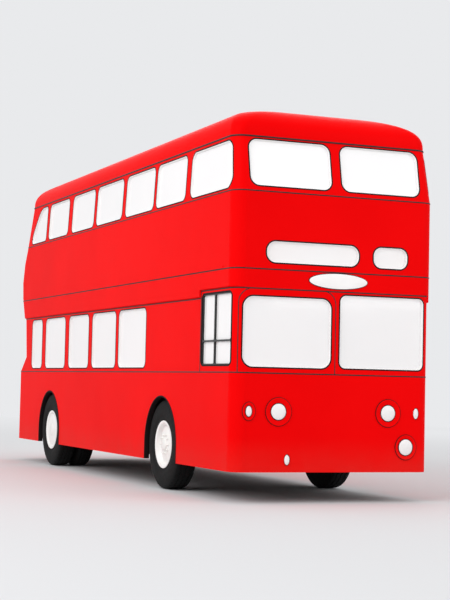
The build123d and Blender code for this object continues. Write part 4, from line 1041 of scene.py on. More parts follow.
# %% Wheel sections and nuts
HUB_Z = 0.540
FRONT_AXLE_Y, REAR_AXLE_Y = FRONT_Y + 2.275, FRONT_Y + 7.225
FRONT_DISC = (
    (0.0690, 0.140), (0.0690, 0.236), (-0.128, 0.241), (-0.130, 0.286), (-0.126, 0.290),
    (-0.121, 0.288), (-0.117, 0.262), (-0.108, 0.2555), (0.108, 0.2555), (0.117, 0.262),
    (0.121, 0.288), (0.125, 0.290), (0.129, 0.287), (0.1295, 0.270), (0.124, 0.254),
    (0.104, 0.244), (0.079, 0.240), (0.0735, 0.236), (0.078, 0.222), (0.092, 0.180),
    (0.101, 0.150), (0.1035, 0.140), (0.1035, 0.086), (0.106, 0.079), (0.117, 0.074),
    (0.124, 0.068), (0.128, 0.052), (0.1295, 0.026), (0.1298, 0.0),
)
REAR_DISC = (
    (0.012, 0.140), (0.012, 0.238), (-0.266, 0.241), (-0.270, 0.286), (-0.266, 0.290),
    (-0.261, 0.288), (-0.257, 0.262), (-0.250, 0.2555), (-0.045, 0.2555), (-0.034, 0.262),
    (-0.032, 0.288), (-0.028, 0.290), (-0.022, 0.288), (-0.020, 0.262), (-0.014, 0.2555),
    (0.014, 0.2555), (0.020, 0.262), (0.022, 0.288), (0.028, 0.290), (0.032, 0.288),
    (0.034, 0.262), (0.045, 0.2555), (0.250, 0.2555), (0.257, 0.262), (0.261, 0.288),
    (0.265, 0.290), (0.269, 0.287), (0.2695, 0.268), (0.263, 0.252), (0.252, 0.243),
    (0.2500, 0.236), (0.2525, 0.222), (0.2560, 0.180), (0.2585, 0.140), (0.2590, 0.120),
    (0.2590, 0.096), (0.2605, 0.088), (0.2650, 0.082), (0.2680, 0.066), (0.2690, 0.034),
    (0.2692, 0.0),
)
NUT_COUNT, NUT_CIRCLE, NUT_ACROSS, NUT_TALL, NUT_FACE = 10, 0.114, 0.0155, 0.016, 0.1035
NUT = ((-0.002, 0), (-0.002, NUT_ACROSS), (NUT_TALL - 0.003, NUT_ACROSS),
       (NUT_TALL, NUT_ACROSS * 0.8), (NUT_TALL, 0))
STUD = ((0, 0.008), (NUT_TALL + 0.007, 0.008), (NUT_TALL + 0.009, 0.006), (NUT_TALL + 0.009, 0))


def nuts(middle, outward, hub_y):
    """A ring of hexagonal nuts on studs, standing on a disc's face."""
    made = []
    for k in range(NUT_COUNT):
        turn = 2 * math.pi * k / NUT_COUNT
        centre = (middle + outward * NUT_FACE, hub_y + NUT_CIRCLE * math.cos(turn),
                  HUB_Z + NUT_CIRCLE * math.sin(turn))
        made += [turned(profile, centre, (outward, 0, 0), sides)
                 for profile, sides in ((NUT, 6), (STUD, 10))]
    return made


# %% [markdown]
# ## Tyres
# A tyre's section is a smooth loop through the same bead, sidewall and tread radii that the frame's
# solid has. Its tread has three zigzag grooves round it and short slots at its shoulders, cut by
# lowering the surface: the depth at angle t and width w is 9 mm where |w - zigzag(t)| is under the
# groove's half width. Nothing is written on its walls; one fine ring marks the rim's line.

# %% Treaded tyres
AROUND, ACROSS, TYRE_RADIUS, TWIN_OFFSET = 384, 30, 0.540, 0.150
# From the bead to the tread's edge: distance in from the tyre's side, radius
SIDEWALL = ((0.030, 0.255), (0.022, 0.293), (0.016, 0.301), (0.017, 0.305), (0.006, 0.340),
            (0.001, 0.365), (0, 0.395), (0.001, 0.425), (0.005, 0.475), (0.0105, 0.498),
            (0.0155, 0.512), (0.024, 0.5255), (0.034, 0.533))
TREAD_EDGE, CROWN_DROP, CUT_EDGE, TREAD_DEPTH = 0.046, 0.0035, 0.030, 0.009
GROOVE_HALF, GROOVE_SHARE, ZIGZAGS, ZIGZAG_REACH = 0.0045, 0.42, 48, 0.006
# Shoulder slots: share of the depth, half their share of a zigzag, and where they start
SLOT_DEPTH, SLOT_HALF, SLOT_START = 0.75, 0.14, 0.70


def tyre_section(width):
    """Half widths and radii from bead to bead, over the tread: straight lines through the frame's
    section, rounded by drawing it with many points on the shoulder."""
    wall = np.array(SIDEWALL) * (-1, 1) + (width / 2, 0)
    edge = width / 2 - TREAD_EDGE
    tread = np.linspace(edge, -edge, ACROSS)
    crown = TYRE_RADIUS - CROWN_DROP * (tread / edge) ** 2
    return np.vstack((wall, np.column_stack((tread, crown)), wall[::-1] * (-1, 1)))


def tread_depth(turn, place, half):
    """How deep the tread is cut at an angle and a place across the tyre."""
    phase = turn * ZIGZAGS / (2 * np.pi) % 1
    zigzag = ZIGZAG_REACH * (np.abs(phase * 4 - 2) - 1)
    slots = (np.abs(phase - 0.5) < SLOT_HALF) & (np.abs(place) > half * SLOT_START)
    depth = SLOT_DEPTH * slots
    for centre in (-half * GROOVE_SHARE, 0, half * GROOVE_SHARE):
        depth = np.maximum(depth, np.abs(place - centre - zigzag) < GROOVE_HALF)
    return TREAD_DEPTH * depth * (np.abs(place) < half - CUT_EDGE)


def tyre(middle, hub_y, width, outward):
    """One tyre as a closed ring of sections."""
    place, radius = tyre_section(width).T
    turn = np.linspace(0, 2 * np.pi, AROUND, endpoint=False)[:, None]
    radius = radius - tread_depth(turn, place, width / 2)
    grid = np.stack((middle + outward * place + 0 * turn, hub_y + radius * np.cos(turn),
                     HUB_Z + radius * np.sin(turn)), axis=-1)
    return shell(grid, wrap_rows=True, wrap_columns=True)


# Axle, its y, x of the wheel's middle, section, tyre width, where its tyres stand
AXLES = (
    ("front", FRONT_AXLE_Y, 1.045, FRONT_DISC, 0.280, (0,)),
    ("rear", REAR_AXLE_Y, 0.905, REAR_DISC, 0.260, (-TWIN_OFFSET, TWIN_OFFSET)),
)
for side, outward in (("offside", -1), ("nearside", 1)):
    for axle, hub_y, wheel_x, disc, width, offsets in AXLES:
        body, middle = f"{axle}_wheel_{side}", outward * wheel_x
        metal = [turned(disc, (middle, hub_y, HUB_Z), (outward, 0, 0), 96)]
        if axle == "front":
            metal += nuts(middle, outward, hub_y)
        piece(f"{axle}_disc_{side}", metal, wheel_enamel, body=body, slot="wheel_paint",
              replaces=[body])
        piece(f"{axle}_tread_{side}", [tyre(middle + x, hub_y, width, outward) for x in offsets],
              tyre_finish, body=body, slot="tyre", replaces=[f"{axle}_tyre_{side}"])

# %% [markdown]
# ## Wheel arches
# Each opening in the side panels is edged in dark rubber that covers the cut through the wall: an
# upright length, then half an ellipse over the wheel.

# %% Arch beads
ARCH_HALF, ARCH_RISE, ARCH_FOOT = 0.555, 0.585, SKIRT + 0.002
ARCH_BEAD = half_round(0.018, 0.0055, root=0.0605)


def arch_path(axle_y, side):
    """Up the front edge, over the half ellipse, and down the back edge."""
    turn = np.linspace(np.pi, 0, 40)
    station = np.concatenate(([-ARCH_HALF], ARCH_HALF * np.cos(turn), [ARCH_HALF]))
    height = np.concatenate(([ARCH_FOOT], HUB_Z + ARCH_RISE * np.sin(turn), [ARCH_FOOT]))
    places = np.column_stack((np.full(len(station), side * LOWER_HALF), axle_y + station, height))
    return places, np.tile((side, 0.0, 0.0), (len(places), 1))


piece("arch_beads", [carried(*arch_path(axle_y, side), ARCH_BEAD)
                     for axle_y in (FRONT_AXLE_Y, REAR_AXLE_Y) for side in (-1, 1)],
      glazing_rubber)

# %% [markdown]
# ## Seats
# A seat is a steel frame with a sprung cushion and a back in moquette, edged with vinyl piping. Each
# size of pad is blown up once by cloth simulation: a block a little too small is remeshed into even
# squares, filled to a steady pressure with gravity off, and let go for 20 frames. No point may move
# further than the pad's swell, and less towards its edges, so that it crowns in the middle. Its
# underside is then pressed flat on its board, and the sewn channels are drawn in as
# depth * exp(-(d / width)^2) from their lines. The finished pad is copied to every place it sits.

# %% Pads by cloth simulation
VOXEL, PRESSURE, FRAMES = 0.017, 4.0, 20
CHANNEL_DEPTH, CHANNEL_WIDTH = 0.010, 0.014
# The piping: its height as a share of the pad's thickness, corner, step, and how far out it sits
PIPING_LEVEL, PIPING_CORNER, PIPING_STEP, PIPING_OUT = 0.1, 0.022, 0.03, 0.004
# Share of the swell that an edge may have, and the shares of a side where the cloth turns down
EDGE_SWELL, TURN_START, TURN_SPAN = 0.25, 0.86, 0.1


def remeshed(size):
    """A rounded block of even squares, as a new object."""
    half = size / 2
    points, faces = block(*np.column_stack((-half, half)).ravel(), min(0.018, half.min() * 0.6))
    mesh = bpy.data.meshes.new("pad_form")
    mesh.from_pydata(points.tolist(), [], faces)
    form = placed_in_scene("pad_form", mesh)
    remesh = form.modifiers.new("even_squares", "REMESH")
    remesh.mode, remesh.voxel_size, remesh.use_smooth_shade = "VOXEL", VOXEL, True
    even = bpy.data.meshes.new_from_object(form.evaluated_get(
        bpy.context.evaluated_depsgraph_get()))
    form.modifiers.clear()
    form.data = even
    return form


def points_of(mesh):
    """The points of a mesh as rows of x, y, z."""
    points = np.empty(len(mesh.vertices) * 3)
    mesh.vertices.foreach_get("co", points)
    return points.reshape(-1, 3)


def blown(form):
    """The points of a form after its cloth has been filled."""
    cloth_fill = form.modifiers.new("filling", "CLOTH")
    settings = cloth_fill.settings
    settings.use_pressure, settings.uniform_pressure_force = True, PRESSURE
    settings.effector_weights.gravity, settings.quality = 0, 4
    cloth_fill.point_cache.frame_end = FRAMES
    scene = bpy.context.scene
    for frame_number in range(1, FRAMES + 1):
        scene.frame_set(frame_number)
    points = points_of(form.evaluated_get(bpy.context.evaluated_depsgraph_get()).to_mesh())
    scene.frame_set(1)
    form.modifiers.clear()
    return points


def stuffed(size, swell, channels=()):
    """A pad of a size as (points, faces, piping path, weave). The channels are places along X. The
    weave is where each point lies on the cloth, which turns down over the pad's edges."""
    size = np.array(size)
    form = remeshed(size - swell)
    start = points_of(form.data)
    faces = [list(face.vertices) for face in form.data.polygons]
    share = np.abs(start) / (size / 2)
    crown = (1 - share[:, 0] ** 4) * (1 - share[:, 1] ** 4)
    moved = blown(form) - start
    length = np.linalg.norm(moved, axis=1)
    limit = swell * (EDGE_SWELL + (1 - EDGE_SWELL) * crown)
    points = start + moved * np.minimum(1, limit / np.maximum(length, 1e-9))[:, None]
    bpy.data.objects.remove(form)
    points[:, 2] = np.maximum(points[:, 2], -size[2] / 2)
    for place in channels:
        drop = CHANNEL_DEPTH * np.exp(-((points[:, 0] - place) / CHANNEL_WIDTH) ** 2)
        points[:, 2] -= drop * (points[:, 2] > 0) * crown
    level = size[2] * PIPING_LEVEL
    belt = points[np.abs(points[:, 2] - level) < VOXEL * 0.55]
    outline = rounded_corners(rectangle(-size[0] / 2, size[0] / 2, -size[1] / 2, size[1] / 2),
                              PIPING_CORNER, steps=5, spacing=PIPING_STEP)
    apart = np.linalg.norm(outline[:, None] - belt[None, :, :2], axis=2)
    near = belt[np.argsort(apart, axis=1)[:, :3], :2].mean(1)
    near = (np.roll(near, 1, 0) + 2 * near + np.roll(near, -1, 0)) / 4
    ring = np.insert(near * (1 + PIPING_OUT / size[:2]), 2, level, axis=1)
    over = np.clip((share[:, :2] - TURN_START) / TURN_SPAN, 0, 1) * np.sign(start[:, :2])
    weave = points.copy()
    weave[:, :2] += over * (size[2] / 2 - points[:, 2:])
    return points, faces, ring, weave


def placed(points, at, tilt=0.0, turn=0.0):
    """Points tipped back about X, then turned about Z, then moved."""
    c, s = math.cos(tilt), math.sin(tilt)
    tipped = points @ np.array(((1, 0, 0), (0, c, s), (0, -s, c)))
    c, s = math.cos(turn), math.sin(turn)
    return tipped @ np.array(((c, s, 0), (-s, c, 0), (0, 0, 1))) + at


# %% [markdown]
# Double seats fill the rows of both decks. Three benches face inwards over the wheel housings, and
# one runs across the back over the engine shelf.

# %% Seat rows
SEAT_INNER, SEAT_OUTER = 0.270, 1.151
SEAT_WIDE, SEAT_MIDDLE = SEAT_OUTER - SEAT_INNER, (SEAT_OUTER + SEAT_INNER) / 2
LOWER_FLOOR, UPPER_FLOOR = 0.680, 2.560
LOWER_ROWS = (3.120, 3.870, 4.620, 5.370)
UPPER_ROWS = (0.480, 1.230, 1.980, 2.950, 3.700, 4.450, 5.200, 5.950, 6.700, 7.450)
STAIR_ROWS, REAR_BENCH_ROW = (1.230, 1.980), 7.905
BACK_TILT = math.pi / 2 - math.radians(7.4)
# The pads stand in the middle of the frame's seat section: distance back and height
CUSHION_AT, BACK_AT = (0.200, 0.388), (0.432, 0.700)
# Front and back of the cushion pan, and its low and high faces over the floor
PAN = (0.015, 0.415, 0.305, 0.330)
# The top rail's left half: x from the seat's edge, distance back, height
HALF_RAIL = ((0.05, 0.375, 0.316), (0.05, 0.415, 0.318), (0.05, 0.438, 0.330),
             (0.05, 0.448, 0.360), (0.05, 0.458, 0.430), (0.05, 0.512, 0.880),
             (0.05, 0.516, 0.940), (0.05, 0.510, 0.966), (0.056, 0.503, 0.974),
             (0.07, 0.500, 0.977))
# The legs' hoop on the aisle side: distance back, height
HOOP = ((0.115, 0.001), (0.115, 0.270), (0.135, 0.296), (0.165, 0.302), (0.235, 0.302),
        (0.265, 0.296), (0.285, 0.270), (0.285, 0.001))


def pad_set(wide, channels=()):
    """The cushion and back of a seat of one width."""
    return (stuffed((wide - 0.012, 0.410, 0.112), 0.020, channels),
            stuffed((wide - 0.012, 0.500, 0.058), 0.014, channels))


def moved_block(y, floor, x0, x1, y0, y1, z0, z1, bevel=0.004):
    """A block whose y and z are counted from a place along the bus and a floor."""
    return block(x0, x1, y + y0, y + y1, floor + z0, floor + z1, bevel)


class Upholstery:
    """The pads of one set of seats, each put at its place with its piping, then joined."""

    def __init__(self):
        self.pads, self.weaves, self.piping = [], [], []

    def put(self, pad, at, tilt=0.0, turn=0.0):
        """Puts one pad at a place."""
        points, faces, ring, weave = pad
        self.pads.append((placed(points, at, tilt, turn), faces))
        self.weaves.append(weave)
        self.piping.append(pipe(placed(ring, at, tilt, turn), 0.0055, 6, closed=True))

    def seat(self, pads, middle_x, station, floor):
        """Puts one forward-facing seat's cushion and back."""
        for pad, (back, up), tilt in zip(pads, (CUSHION_AT, BACK_AT), (0, BACK_TILT)):
            self.put(pad, np.array((middle_x, FRONT_Y + station + back, floor + up)), tilt)

    def finish(self, name, node):
        """Makes the pads and the piping, and lays the cloth on the pads."""
        piece(name + "_pads", self.pads, cloth, slot="seat_cloth", replaces=[node],
                        weave=np.concatenate(self.weaves))
        piece(name + "_piping", self.piping, vinyl)


def seat_frame(middle_x, wide, station, floor, side):
    """Cushion pan, legs, back tubes, back board and top rail of one seat. The legs are on the aisle
    side, and the other end is carried by a ledge on the wall."""
    left, right, y = middle_x - wide / 2, middle_x + wide / 2, FRONT_Y + station
    points, board_faces = block(left + 0.004, right - 0.004, -0.262, 0.262, -0.004, 0.004)
    board = placed(points - (0, 0, 0.036), np.array((0, y + BACK_AT[0], floor + BACK_AT[1])),
                   BACK_TILT), board_faces
    aisle = left + 0.07 if side > 0 else right - 0.07
    on_wall = (right - 0.03, right + 0.004) if side > 0 else (left - 0.004, left + 0.03)
    steel = [moved_block(y, floor, left + 0.01, right - 0.01, *PAN),
             moved_block(y, floor, *on_wall, 0.05, 0.38, 0.27, 0.306)]
    steel += [moved_block(y, floor, aisle - 0.03, aisle + 0.03, v - 0.03, v + 0.03, 0, 0.006)
              for v in (0.115, 0.285)]
    steel.append(pipe([(0, *spot) for spot in HOOP], 0.014, 10, origin=(aisle, y, floor)))
    rail = ([(left + x, v, w) for x, v, w in HALF_RAIL]
            + [(right - x, v, w) for x, v, w in HALF_RAIL[::-1]])
    return steel, board, pipe(rail, 0.011, 8, origin=(0, y, floor))


def row_of_seats(name, places, wide, pads, node):
    """Seats of one width at (middle x, station, floor) places: pads, piping, frames and rails."""
    upholstery, steel, boards, rails = Upholstery(), [], [], []
    for middle_x, station, floor in places:
        upholstery.seat(pads, middle_x, station, floor)
        frame_parts, board, rail = seat_frame(middle_x, wide, station, floor, np.sign(middle_x))
        steel += frame_parts
        boards.append(board)
        rails.append(rail)
    upholstery.finish(name, node)
    piece(name + "_frames", steel, chassis_paint)
    piece(name + "_boards", boards, melamine, smooth=False)
    piece(name + "_rails", rails, stainless)


double = pad_set(SEAT_WIDE, channels=(0.0,))
OFFSIDE_ROWS = [station for station in UPPER_ROWS if station not in STAIR_ROWS]
for name, floor, rows, sides, node in (
        ("lower_seats", LOWER_FLOOR, LOWER_ROWS, (-1, 1), "seats_lower"),
        ("upper_offside_seats", UPPER_FLOOR, OFFSIDE_ROWS, (-1,), "seats_upper"),
        ("upper_nearside_seats", UPPER_FLOOR, UPPER_ROWS, (1,), "seats_upper")):
    places = [(side * SEAT_MIDDLE, station, floor) for station in rows for side in sides]
    row_of_seats(name, places, SEAT_WIDE, double, node)

# %% Benches over the wheel housings and across the back
BENCH_LONG, BENCH_Z = 1.110, 1.150
# Station of the bench's middle, side, inner face
BENCHES = ((2.275, 1, 0.570), (7.225, -1, 0.550), (7.225, 1, 0.550))


def make_benches():
    """Inward-facing benches on the wheel housings, and the five-place bench at the back."""
    cushion = stuffed((BENCH_LONG, 0.500, 0.086), 0.016, (-0.25, 0.25))
    back = stuffed((BENCH_LONG, 0.420, 0.052), 0.012, (-0.25, 0.25))
    upholstery = Upholstery()
    for station, side, inner in BENCHES:
        y, turn = FRONT_Y + station, side * math.pi / 2
        upholstery.put(cushion, np.array((side * (inner + 0.262), y, BENCH_Z + 0.046)), turn=turn)
        upholstery.put(back, np.array((side * 1.116, y, BENCH_Z + 0.305)), math.pi / 2, -turn)
    across = pad_set(2 * SEAT_OUTER - 0.02, channels=(-0.92, -0.46, 0.0, 0.46, 0.92))
    upholstery.seat(across, 0.0, REAR_BENCH_ROW, LOWER_FLOOR)
    upholstery.finish("bench", "bench_seats")
    box = moved_block(FRONT_Y + REAR_BENCH_ROW, LOWER_FLOOR, -1.140, 1.140, 0.06, 0.38, 0, 0.325)
    piece("rear_bench_box", [box], melamine)


make_benches()

# %% Driver's seat
DRIVER_X, DRIVER_STATION, DRIVER_HALF = -0.770, 0.470, 0.230


def make_driver_seat():
    """One narrower seat on a round pedestal, with a steel spine up its back."""
    upholstery = Upholstery()
    upholstery.seat(pad_set(2 * DRIVER_HALF), DRIVER_X, DRIVER_STATION, LOWER_FLOOR)
    upholstery.finish("driver", "driver_seat")
    y = FRONT_Y + DRIVER_STATION
    column = turned(((0, 0), (0, 0.15), (0.012, 0.15), (0.02, 0.07), (0.25, 0.06), (0.31, 0.13),
                     (0.31, 0)), (DRIVER_X, y + 0.2, LOWER_FLOOR), (0, 0, 1), 32)
    pan = moved_block(y, LOWER_FLOOR, DRIVER_X - DRIVER_HALF + 0.01, DRIVER_X + DRIVER_HALF - 0.01,
                      *PAN)
    spine = pipe(((0, 0.360, 0.316), (0, 0.415, 0.318), (0, 0.445, 0.330), (0, 0.458, 0.360),
                  (0, 0.466, 0.430), (0, 0.492, 0.640)), 0.022, origin=(DRIVER_X, y, LOWER_FLOOR))
    piece("driver_seat_stand", [column, pan, spine], chassis_paint)


make_driver_seat()

# %% [markdown]
# ## Inside fittings
# Polished poles rise from the seat rails to the ceilings, rails run along the lower ceiling, and a
# guard rail stands round the stairwell. Aluminium nosings edge the stairs and the entrance
# platform. The driver has a round wheel, three plain dials, two pedals and a lever.

# %% Poles, rails and nosings
LOWER_CEILING, UPPER_CEILING = 2.490, 4.386
POLE_X, RAIL_END = SEAT_INNER + 0.07, 8.05
# How a ceiling rail drops from the ceiling: distance along it, height
RAIL_DROP = ((0, 0), (0, -0.050), (0.006, -0.064), (0.020, -0.070))


def pole(x, station, low, high, radius=0.014):
    """An upright pole with a turned flange at each end."""
    foot, head = ((x, FRONT_Y + station, z) for z in (low, high))
    flange = ((0, TIP), (0, 0.034), (0.004, 0.034), (0.012, radius + 0.004), (0.020, radius + 0.002))
    return [pipe([foot, head], radius), turned(flange, foot, (0, 0, 1), 24),
            turned(flange, head, (0, 0, -1), 24)]


def make_poles():
    """Poles on every other seat, at the platform and by the stairs, and the ceiling rails."""
    tubes = []
    for floor, ceiling, rows in ((LOWER_FLOOR, LOWER_CEILING, LOWER_ROWS[::2]),
                                 (UPPER_FLOOR, UPPER_CEILING, UPPER_ROWS[3::2])):
        for station in rows:
            for x in (-POLE_X, POLE_X):
                tubes += pole(x, station + 0.500, floor + 0.977, ceiling)
    for x, station in ((0.435, 0.330), (0.435, 1.560), (-0.520, 1.120)):
        tubes += pole(x, station, LOWER_FLOOR, LOWER_CEILING, 0.016)
    for x, start in ((-0.34, 3.05), (0.34, 1.60)):
        path = ([(0, start + v, w) for v, w in RAIL_DROP]
                + [(0, RAIL_END - v, w) for v, w in RAIL_DROP[::-1]])
        tubes.append(pipe(path, 0.014, origin=(x, FRONT_Y, LOWER_CEILING)))
    piece("poles", tubes, stainless)


make_poles()

STAIR_X, STAIR_START, STAIR_LANDING, STAIR_TREAD, STAIR_COUNT = -0.560, 1.080, 0.360, 0.176, 9
STAIR_RISE = (UPPER_FLOOR - LOWER_FLOOR) / STAIR_COUNT
STAIRWELL_START = 1.300


def make_nosings():
    """An angle of aluminium over the edge of each stair, and a strip along the platform's edge."""
    strips = []
    for step in range(STAIR_COUNT):
        nose = STAIR_START + (STAIR_LANDING + STAIR_TREAD * (step - 1) if step else 0)
        for deep, low, high in ((0.036, -0.001, 0.003), (0.001, -0.030, 0.001)):
            strips.append(moved_block(FRONT_Y + nose, LOWER_FLOOR + STAIR_RISE * (step + 1),
                                      -1.150, STAIR_X - 0.006, -0.004, deep, low, high, 0.0015))
    strips.append(moved_block(FRONT_Y, LOWER_FLOOR, 0.466, 0.500, 0.070, 1.490, -0.001, 0.003,
                              0.0015))
    piece("nosings", strips, aluminium, smooth=False)


def make_stair_rails():
    """The stairs' handrail, and the guard rail round the stairwell on the upper deck."""
    run, grip = 0.98, 0.86
    climb = 0.05 + STAIR_RISE / STAIR_TREAD * (run - 0.02)
    tubes = [pipe([(0, -0.22, -grip), (0, -0.22, -0.04), (0, -0.20, -0.01), (0, -0.16, 0),
                   (0, -0.04, 0.01), (0, 0.02, 0.05), (0, run, climb)], 0.015,
                  origin=(STAIR_X - 0.035, FRONT_Y + 1.36, LOWER_FLOOR + STAIR_RISE + grip))]
    rail_z, edge, corner = UPPER_FLOOR + 0.84, STAIR_X + 0.035, 0.06
    start, end = FRONT_Y + STAIRWELL_START - 0.035, FRONT_Y + 2.66
    level = np.array(((-1.120, start, 0), (edge - corner, start, 0),
                      (edge - corner * 0.3, start + corner * 0.3, 0), (edge, start + corner, 0),
                      (edge, end - corner, 0), (edge, end - corner * 0.3, -corner * 0.3),
                      (edge, end, -corner)))
    for z, radius in ((rail_z, 0.015), (rail_z - 0.36, 0.010)):
        tubes.append(pipe([*(level + (0, 0, z)), (edge, end, UPPER_FLOOR)], radius))
    for x, y in ((-1.05, start), (edge, start + corner), (edge, (start + end) / 2)):
        tubes.append(pipe([(x, y, UPPER_FLOOR), (x, y, rail_z)], 0.013))
    piece("stair_rails", tubes, stainless)
    panel = block(edge - 0.004, edge + 0.004, start + 0.12, end - 0.08, UPPER_FLOOR + 0.05,
                  rail_z - 0.42)
    piece("stair_panel", [panel], melamine, smooth=False)


make_nosings()
make_stair_rails()

# %% Ceiling lamps
# Opal bowls in two rows on each deck
LAMP_RIM = ((-0.004, 0.070), (0.010, 0.074), (0.016, 0.070), (0.018, 0.060), (0.010, 0.056),
            (-0.004, 0.056))


def make_ceiling_lamps():
    """Pressed rims and opal bowls, hanging from the ceilings."""
    swell = np.linspace(0, np.pi / 2, 8)
    bowl = np.column_stack((0.012 + 0.026 * np.sin(swell), np.maximum(0.059 * np.cos(swell), TIP)))
    places = [(x, FRONT_Y + station, ceiling)
              for ceiling, stations in ((LOWER_CEILING, np.arange(2.2, 8.0, 1.15)),
                                        (UPPER_CEILING - 0.004, np.arange(1.9, 7.4, 1.15)))
              for station in stations for x in (-0.17, 0.17)]
    for name, profile, material in (("rims", LAMP_RIM, aluminium), ("bowls", bowl, clear_lens)):
        piece("ceiling_lamp_" + name, [turned(profile, place, (0, 0, -1), 32) for place in places],
              material)


make_ceiling_lamps()

# %% Driver's controls
WHEEL_CENTRE, WHEEL_RADIUS, WHEEL_TILT = (DRIVER_X, FRONT_Y + 0.430, 1.400), 0.235, math.radians(12)
# Distance out, half width, how far the spoke sinks
SPOKE = ((0.030, 0.018, 0.012), (0.090, 0.013, 0.010), (0.150, 0.010, 0.005),
         (0.205, 0.010, 0.001), (0.226, 0.013, 0.0))
BOSS = ((-0.030, TIP), (-0.030, 0.036), (-0.006, 0.050), (0.002, 0.046), (0.010, 0.030),
        (0.013, TIP))
# x and half width of each pedal
PEDALS = ((-0.66, 0.045), (-0.88, 0.040))
TUMBLER = ((-0.002, 0.011), (0.006, 0.011), (0.008, 0.007), (0.022, 0.005), (0.026, 0.007),
           (0.030, TIP))
LEVER_KNOB = ((-0.026, TIP), (-0.022, 0.012), (0.0, 0.019), (0.018, 0.013), (0.024, TIP))


def arm(centre, way, axis, rows, thick, twist=0.0):
    """A flat arm out from a hub. Its rows are (distance out, half width, sink along the axis), and
    twist lifts one edge and lowers the other."""
    side = np.cross(axis, way)
    grid = [[centre + way * out + side * (u * half) + axis * (w * thick + u * twist - sink)
             for u, w in ((-1, -1), (-1, 1), (1, 1), (1, -1))] for out, half, sink in rows]
    return shell(np.array(grid), wrap_columns=True, caps=True)


def make_steering_wheel():
    """A thin rim with finger ridges on three flat spokes, a domed boss and a tapered column."""
    axis = np.array((0, math.sin(WHEEL_TILT), math.cos(WHEEL_TILT)))
    across, centre = np.array((1.0, 0, 0)), np.array(WHEEL_CENTRE)
    forward = np.cross(axis, across)
    turn = np.linspace(0, 2 * np.pi, 144, endpoint=False)[:, None, None]
    outward = np.cos(turn) * across + np.sin(turn) * forward
    cosines, sines = circle(14)
    ridged = (0.0145 + 0.0005 * np.cos(turn * 36)) * (cosines * outward + sines * axis)
    rim = shell(centre + WHEEL_RADIUS * outward + ridged, wrap_rows=True, wrap_columns=True)
    spokes = [arm(centre, math.cos(angle) * across + math.sin(angle) * forward, axis, SPOKE, 0.004)
              for angle in np.radians((90, 210, 330))]
    foot = (LOWER_FLOOR - WHEEL_CENTRE[2]) / axis[2]
    column = turned(((foot + 0.004, 0.026), (-0.30, 0.026), (-0.29, 0.032), (-0.030, 0.030)),
                    centre, axis, 32)
    boot = turned(((foot + 0.010, 0.027), (foot + 0.012, 0.075), (foot + 0.020, 0.078),
                   (foot + 0.040, 0.060), (foot + 0.100, 0.032), (foot + 0.100, 0.020)),
                  centre, axis, 40)
    piece("steering_wheel_rim", [rim, *spokes, turned(BOSS, centre, axis, 40)], black_rubber,
          slot="black_plastic", replaces=["steering_wheel"])
    piece("steering_column", [column], trim_black)
    piece("steering_column_boot", [boot], black_rubber)


def make_dash():
    """Three plain dials with chrome rims on the dash's slope, a row of tumblers, pedals and a lever."""
    dash_y, dash_z, slope_out = FRONT_Y + 0.245, 1.335, (0, 1.0, 1.0)
    rims, faces = [], []
    for x, radius in ((-0.90, 0.038), (-0.77, 0.052), (-0.64, 0.038)):
        rim = ((-0.004, radius), (0.008, radius), (0.012, radius - 0.003), (0.010, radius - 0.007),
               (0.002, radius - 0.008))
        face = ((-0.003, TIP), (-0.003, radius - 0.004), (0.002, radius - 0.004), (0.003, TIP))
        rims.append(turned(rim, (x, dash_y, dash_z), slope_out, 40))
        faces.append(turned(face, (x, dash_y, dash_z), slope_out, 40))
    knobs = [turned(TUMBLER, (x, dash_y, dash_z), slope_out, 20) for x in np.arange(-0.52, -0.20, 0.05)]
    lever = [(-0.585, FRONT_Y + 0.560, LOWER_FLOOR), (-0.585, FRONT_Y + 0.545, 0.96),
             (-0.585, FRONT_Y + 0.520, 1.09)]
    knobs.append(turned(LEVER_KNOB, lever[-1], (0, -0.2, 1), 24))
    y, z = FRONT_Y + 0.235, 0.790
    pedals = [block(x - wide, x + wide, y, y + 0.014, z - 0.05, z + 0.05) for x, wide in PEDALS]
    arms = [pipe(((0, 0.004, 0), (0, -0.040, -0.02), (0, -0.058, -0.05)), 0.009, origin=(x, y, z))
            for x, _ in PEDALS]
    piece("dash_rims", rims, stainless)
    piece("dash_faces", faces, trim_black)
    piece("dash_knobs", knobs, moulded_plastic)
    piece("pedals", pedals, black_rubber)
    piece("pedal_arms", arms + [pipe(lever, 0.011)], trim_black)


make_steering_wheel()
make_dash()

# %% [markdown]
# ## Tail fittings
# The engine cover carries two banks of pressed louvres, a blank plate with its lamp and a lift
# handle. Each louvre swells from its top edge as sin(v pi / 2) and fades at its ends. The emergency
# window has a lift handle outside and a release bar inside.

# %% Louvres, handles and plate
LOUVRE_HIGH, LOUVRE_DEPTH = 0.034, 0.012
PLATE_Z, HANDLE_Z, HANDLE_HALF, BAR_OUT = 0.623, 0.470, 0.075, 0.013
HANDLE_FLANGE = ((-0.001, TIP), (-0.001, 0.017), (0.002, 0.017), (0.004, 0.012), (0.004, 0.004))
# Layers of the plate and its holder: share of the width, share of the height, distance out
HOLDER_LAYERS = ((1.0, 1.0, -0.001), (1.0, 1.0, 0.006), (0.985, 0.985, 0.008))
PLATE_LAYERS = ((0.965, 0.88, 0.006), (0.965, 0.88, 0.010))


